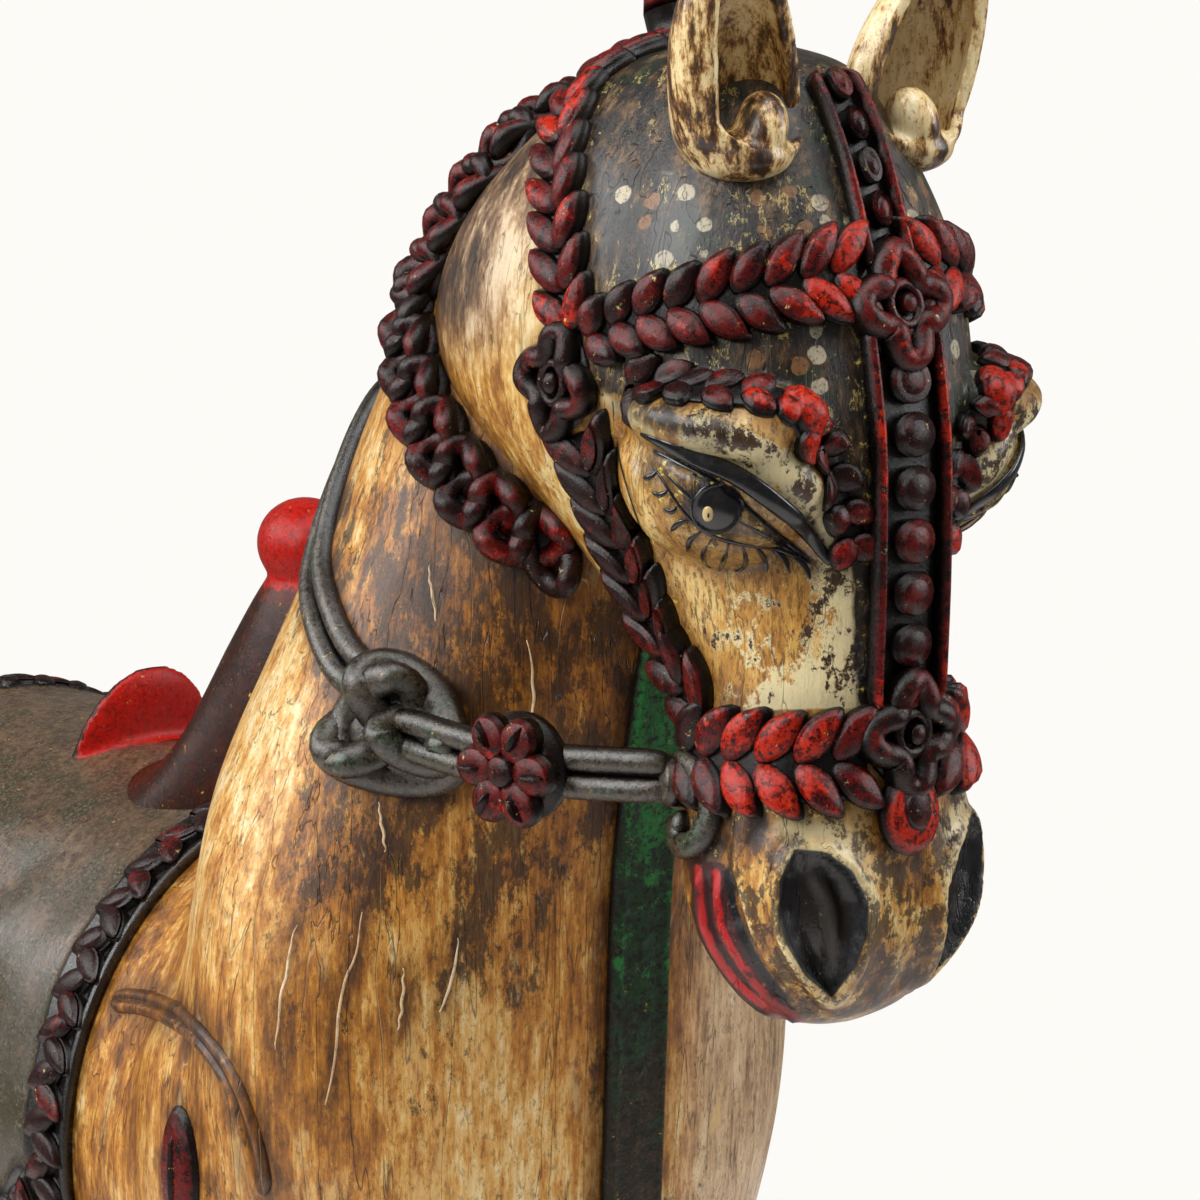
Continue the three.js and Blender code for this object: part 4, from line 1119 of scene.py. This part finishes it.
# Reins, knots, rosettes and bits
reins = Carving()
bit_at = traced([(684, 770), (690, 780), (694, 790)], HEAD_TREE).at(0.5)
knot_at = traced([(440, 744), (404, 730), (368, 712)], BODY_TREE).at(0.5)
flower_at = spot(302, 90, 762)
side_on = Vector((-1, -0.2, 0)).normalized()
free = line_of([bit_at[0] + bit_at[3] * 0.006, flower_at, knot_at[0] + knot_at[3] * 0.010], side_on)


def strands(carving, path, width, rings, tall=7.5):
    for x in (-width * 0.27, width * 0.27):
        section = [(x + a, b) for a, b in round_profile(width * 0.29, -tall * 0.7, tall)]
        carving.bar(path, section, rings, 0.05, ends=0.9)
    carving.bar(path, [(-2, -2), (-2, 1), (2, 1), (2, -2)], rings, -1.0, ground=True)


strands(reins, free, 22, 14)
neck_rein = laid([(224, 99, 783), (202, 105, 790), (178, 100, 806), (150, 84, 828), (134, 62, 862),
                  (124, 34, 892), (118, 12, 900), (116, 0, 902)], BODY_TREE)
strands(reins, neck_rein, 22, 26)
reins.stamp(KNOB, knot_at, (58, 46, 11), -0.6)
for angle, long, wide, radius, shift in (
        (0.25, 60, 26, 9.5, (-2, 8, 7)), (-0.35, 56, 24, 9.5, (-4, -9, 8)), (1.2, 46, 24, 9, (10, 0, 11)),
        (0.0, 32, 16, 8.5, (-12, 0, 13))):
    link(reins, turned(knot_at, angle, shift), long, wide, radius, 0.1)
scroll = traced([(664, 760), (690, 762), (712, 782), (716, 812), (706, 838), (690, 846), (680, 832),
                 (690, 820)],
                HEAD_TREE)
reins.bar(scroll, round_profile(6.5, -3, 8), 30, 0.12, ends=0.7)
reins.stamp(KNOB, traced([(676, 764), (682, 774), (688, 784)], HEAD_TREE).at(0.5), (26, 24, 12), 0.0,
            HEAD_TREE)
reins.made("reins", GREEN, rounds=1)
flowers = Carving()
upright = Vector((0, 0, 1))
flower = (flower_at, upright, side_on.cross(upright).normalized(), side_on)
flowers.stamp(KNOB, turned(flower, 0, (0, 0, -4)), (50, 50, 14), -1.0)
for i in range(6):
    a = math.tau * (i + 0.5) / 6
    flowers.stamp(KNOB, turned(flower, a, (15 * math.cos(a), 15 * math.sin(a), 7)), (23, 20, 9), 0.3)
    flowers.stamp(LEAF, turned(flower, a, (16 * math.cos(a), 16 * math.sin(a), 9)), (13, 5, 10), -0.3)
flowers.stamp(KNOB, turned(flower, 0, (0, 0, 11)), (15, 15, 7), 0.1)
flowers.made("rein_rosettes", RED)

# Chest strap
strap = Carving()
strap_path = laid([(318, 0, 878), (306, 0, 830), (296, 0, 780), (288, 0, 700), (280, 0, 600), (270, 0, 500),
                   (240, 0, 430)], BODY_TREE)
rims = [(11, 5.5), (14, 7.5), (17, 4.5), (18, -3)]
strap.bar(strap_path, [(-a, b) for a, b in reversed(rims)] + [(0, 6.5)] + rims, 60,
          lambda share: 0.95 - 1.3 * share)
strap.made("chest_strap", STRAP, mirror=False)

# Saddle
bm = bmesh.new()
skin(bm, paired(SADDLE), len(SADDLE), 40, 60)
ball(bm, spot(22, 0, 812), (23, 27, 23))
ball(bm, spot(-130, 0, 676), (44, 10, 57), Matrix.Rotation(math.radians(14), 3, "X"))
saddle = piece("saddle", bm, MAROON)
fused(saddle, 2.4, 7)
p, n = read(saddle.data, "co"), read(saddle.data, "normal")
knob = np.linalg.norm(p - np.array(spot(22, 0, 816)), axis=1) / 0.026
disc = np.linalg.norm(p - np.array(spot(-132, 0, 682)), axis=1) / 0.056
mark(saddle, "bright", np.maximum(np.clip(1.9 - knob * 1.2, -0.4, 0.75),
                                  np.where(n[:, 1] < -0.3, np.clip(2.2 - disc * 1.6, -0.4, 0.8), -0.4)))
mark(saddle, "lift", 1.0)

# Saddle cloth with its ruffled border
CLOTH_FRONT, CLOTH_LONG = 34, 324
CLOTH_ROUND = 121  # degrees from the ridge of the back to a hem, round the trunk's middle
CLOTH_DROP = 310  # from the ridge to a hem, over the cloth
TRUNK_MIDDLE = 560


def on_cloth(u, v):
    """A place on the horse's back: u runs from the front edge back, v from the right hem over to the left."""
    way = math.radians(CLOTH_ROUND + 4 * math.sin(u * math.tau * 6)) * v
    return BODY_TREE.ray_cast(spot(CLOTH_FRONT - CLOTH_LONG * u, 0, TRUNK_MIDDLE),
                              Vector((-math.sin(way), 0, math.cos(way))))[:2]


bm = bmesh.new()
lift_layer = bm.verts.layers.float.new("lift")
bright_layer = bm.verts.layers.float.new("bright")
grid = bmesh.ops.create_grid(bm, x_segments=110, y_segments=150, size=1)["verts"]
for vert in grid:
    u, v = vert.co.x / 2 + 0.5, vert.co.y
    hit, out = on_cloth(u, v)
    edge = min(min(u, 1 - u) * CLOTH_LONG, (1 - abs(v)) * CLOTH_DROP)
    folds = 1.6 * math.sin(v * 23 + 2 * math.sin(u * 7)) * min(edge / 60, 1) * (0.3 + abs(v))
    vert.co = hit + out * ((4.0 + 2.6 * bump((edge - 31) / 5) + 2.6 * bump((edge - 2) / 5) + folds) * MM)
    vert[lift_layer] = 1.0 if edge > 34 else 0.45
    vert[bright_layer] = 0.05 + 0.25 * min(abs(v), 0.8)
bmesh.ops.recalc_face_normals(bm, faces=bm.faces)
blanket = piece("saddle_cloth", bm, CLOTH_FINISH)
modify(blanket, "SOLIDIFY", thickness=7 * MM, offset=-1)

border = Carving()


def ruffle(places):
    hits = [on_cloth(u, v) for u, v in places]
    path = Path([hit + out * (3 * MM) for hit, out in hits], [out for _, out in hits])
    leaves = round(path.length / 11)
    for i in range(leaves):
        way = 1 if i % 2 else -1
        at = turned(path.at((i + 0.5) / leaves), math.radians(58 * way), (0, 2.5 * way, 0))
        border.stamp(LEAF, at, (27, 17, 7), rng.uniform(-0.35, 0.25))


edge = 17 / CLOTH_LONG
for u in (edge, 1 - edge):
    ruffle([(u, v) for v in np.linspace(-0.93, 0.93, 60)])
for v in (-0.945, 0.945):
    ruffle([(u, v) for u in np.linspace(edge, 1 - edge, 44)])
border.made("cloth_border", RED, mirror=False, rounds=1)

# Shoulder arches, medallions and knobs on the crest
arches = Carving()
arch = traced([(112, 1000), (150, 1004), (190, 1026), (226, 1070), (250, 1130), (264, 1196)], BODY_TREE)
arches.bar(arch, [(-7.5, -3), (-5.5, 3.0), (-2, 3.8), (0, 0.8), (2, 3.6), (5.5, 2.4), (7.5, -3)], 36, 0.1)
arch_piece = arches.made("shoulder_arches", BODY_FINISH)
lifts = np.zeros(len(arch_piece.data.vertices))
arch_piece.data.attributes["lift"].data.foreach_get("value", lifts)
# The arches' low edges darken with the mark for dirt and painted shade beside the trims
mark(arch_piece, "near", 1.5 - 1.4 * lifts)
mark(arch_piece, "dark", 0.6 + 0.4 * lifts)
medals = Carving()
for forward, up in ((140, 558), (-236, 548)):
    at = laid([(forward, 160, up + 6), (forward, 160, up), (forward, 160, up - 6)], BODY_TREE).at(0.5)
    medals.stamp(LEAF, at, (66, 28, 5), 0.3, BODY_TREE)
    medals.stamp(LEAF, at, (46, 6, 6.5), -0.8, BODY_TREE)
medals.made("leg_medallions", RED)
knobs = Carving()
for t in (11.5, 15.4):
    crest = paired(BODY)(t, 0)
    hit, out = BODY_TREE.find_nearest(crest)[:2]
    aside = Vector((1, 0, 0))
    knobs.stamp(KNOB, (hit, out.cross(aside).normalized(), aside, out), (27, 27, 14), 0.3)
knobs.made("crest_knobs", RED, mirror=False)

# Tail
bm = bmesh.new()
rings = []
for r in range(110):
    t = r / 109 * (len(TAIL) - 1)
    place = paired(TAIL)
    centre = (place(t, 0) + place(t, math.pi)) / 2
    sway = 1.3 * math.sin(r / 17)
    rings.append([centre + (place(t, a) - centre) * (0.94 * (1 + 0.07 * math.cos(9 * a + sway)))
                  for a in turns(72)])
swept(bm, rings)
tail = piece("tail", bm, MAROON)
mark(tail, "lift", 1.0)
mark(tail, "bright", -0.3)

# Dirt and painted shade beside the trims, worn crests, zones of the paint with painted shade and painted
# highlight
spots_tree = KDTree(len(CARVED))
for i, place in enumerate(CARVED):
    spots_tree.insert(place, i)
spots_tree.balance()
for obj in (head, body):
    p = read(obj.data, "co")
    # The wood is darker close to the trims: dirt and painted shade
    gap = np.array([spots_tree.find(q)[2] for q in p])
    mark(obj, "near", np.exp(-(gap / (6 * MM)) ** 1.3))
    mark_relief(obj, 0.35 if obj is head else 0.5)
for obj, mm in ((ears, 0.3), (saddle, 0.3)):
    mark_relief(obj, mm)
# Painted shade on the body: a dark zone on the neck under the jaw and rein, a band behind the jaw and the
# right of the neck; painted highlight on the neck behind the head and down its left edge in the frame
DARK = [(300, 560), (330, 480), (420, 470), (560, 560), (670, 690), (650, 800), (560, 880), (530, 1020),
        (480, 1010), (400, 925), (300, 905), (262, 880), (285, 760)]
p, _, s, _ = near_side(body)
dark = np.maximum.reduce([
    np.clip(inside(s, DARK) / 40 + 0.3, 0, 1),
    brushed_zone(s, (0.75, 32, [(400, 330), (470, 540), (600, 640)])),
    0.35 * np.clip((s[:, 0] - 520) / 120, 0, 1) * (s[:, 1] > 560) * (s[:, 0] < 700)])
painted_highlight = brushed_zone(s, (1, 24, [(500, 200), (470, 300), (500, 420)]),
                   (1.3, 40, [(290, 700), (190, 850), (160, 1000)]))
mark(body, "dark", dark * 1.2 - painted_highlight * 0.5)
up = p[:, 2] / MM - GROUND
mark(body, "hoof", np.clip((52 - up) / 10 + 0.5, 0, 1) - 0.5 + 0.5 * (up < 60))
# The far side of the chest is bare of varnish
mark(body, "bare", np.clip((p[:, 0] / MM - 22) / 30, 0, 1) * np.clip((-p[:, 1] / MM - 150) / 50, 0, 1))

# Plinth
bm = bmesh.new()
bm.from_mesh(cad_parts["plinth"].data)
bmesh.ops.remove_doubles(bm, verts=bm.verts, dist=1e-5)
bmesh.ops.dissolve_limit(bm, angle_limit=0.02, verts=bm.verts, edges=bm.edges)
bmesh.ops.bevel(bm, geom=bm.edges[:], offset=2.2 * MM, segments=3, profile=0.5, affect="EDGES", material=-1)
bmesh.ops.triangulate(bm, faces=[face for face in bm.faces if len(face.verts) > 4])
plinth = piece("plinth_block", bm, PLINTH, "plinth", smooth=False)
mark(plinth, "worn", 0.12)

# Floor, light
floor_mesh = bmesh.new()
bmesh.ops.create_circle(floor_mesh, cap_ends=True, segments=96, radius=1.45)
floor_data = bpy.data.meshes.new("floor")
floor_mesh.to_mesh(floor_data)
floor = put("floor", floor_data)
backdrop = finish("pale_studio_floor", 0.9)[0]
backdrop.node_tree.nodes["Principled BSDF"].inputs["Base Color"].default_value = linear("#f4efeb")
floor_data.materials.append(backdrop)

world = bpy.data.worlds.new("studio")
bpy.context.scene.world = world
world.use_nodes = True
sky = world.node_tree
seen_by_camera, soft = sky.nodes["Background"], sky.nodes.new("ShaderNodeBackground")
for node, colour, strength in ((seen_by_camera, "#fdfbf7", 1.0), (soft, "#fffaf5", 0.16)):
    node.inputs["Color"].default_value = linear(colour)
    node.inputs["Strength"].default_value = strength
switch, rays = (sky.nodes.new("ShaderNode" + kind) for kind in ("MixShader", "LightPath"))
for i, source in enumerate((rays.outputs["Is Camera Ray"], soft.outputs[0], seen_by_camera.outputs[0])):
    sky.links.new(source, switch.inputs[i])
sky.links.new(switch.outputs[0], sky.nodes["World Output"].inputs["Surface"])

for name, place, aim, size, watts in (
        ("left_softbox", (-2.3, -0.2, 2.3), (0, -0.3, 0.9), (1.1, 1.6), 62),
        ("right_softbox", (1.7, -1.7, 1.7), (0, -0.35, 0.9), (0.7, 1.8), 34),
        ("back_softbox", (-1.7, 1.5, 1.9), (0, -0.1, 0.8), (1.3, 1.3), 36),
        ("top_softbox", (-0.2, -0.9, 3.0), (0, -0.3, 0.8), (1.4, 1.4), 30)):
    lamp = bpy.data.lights.new(name, "AREA")
    lamp.shape = "RECTANGLE"
    lamp.size, lamp.size_y = size
    lamp.energy = watts
    box = put(name, lamp)
    box.location = place
    box.rotation_euler = (Vector(aim) - Vector(place)).to_track_quat("-Z", "Y").to_euler()
bpy.context.scene.view_settings.view_transform = "Standard"
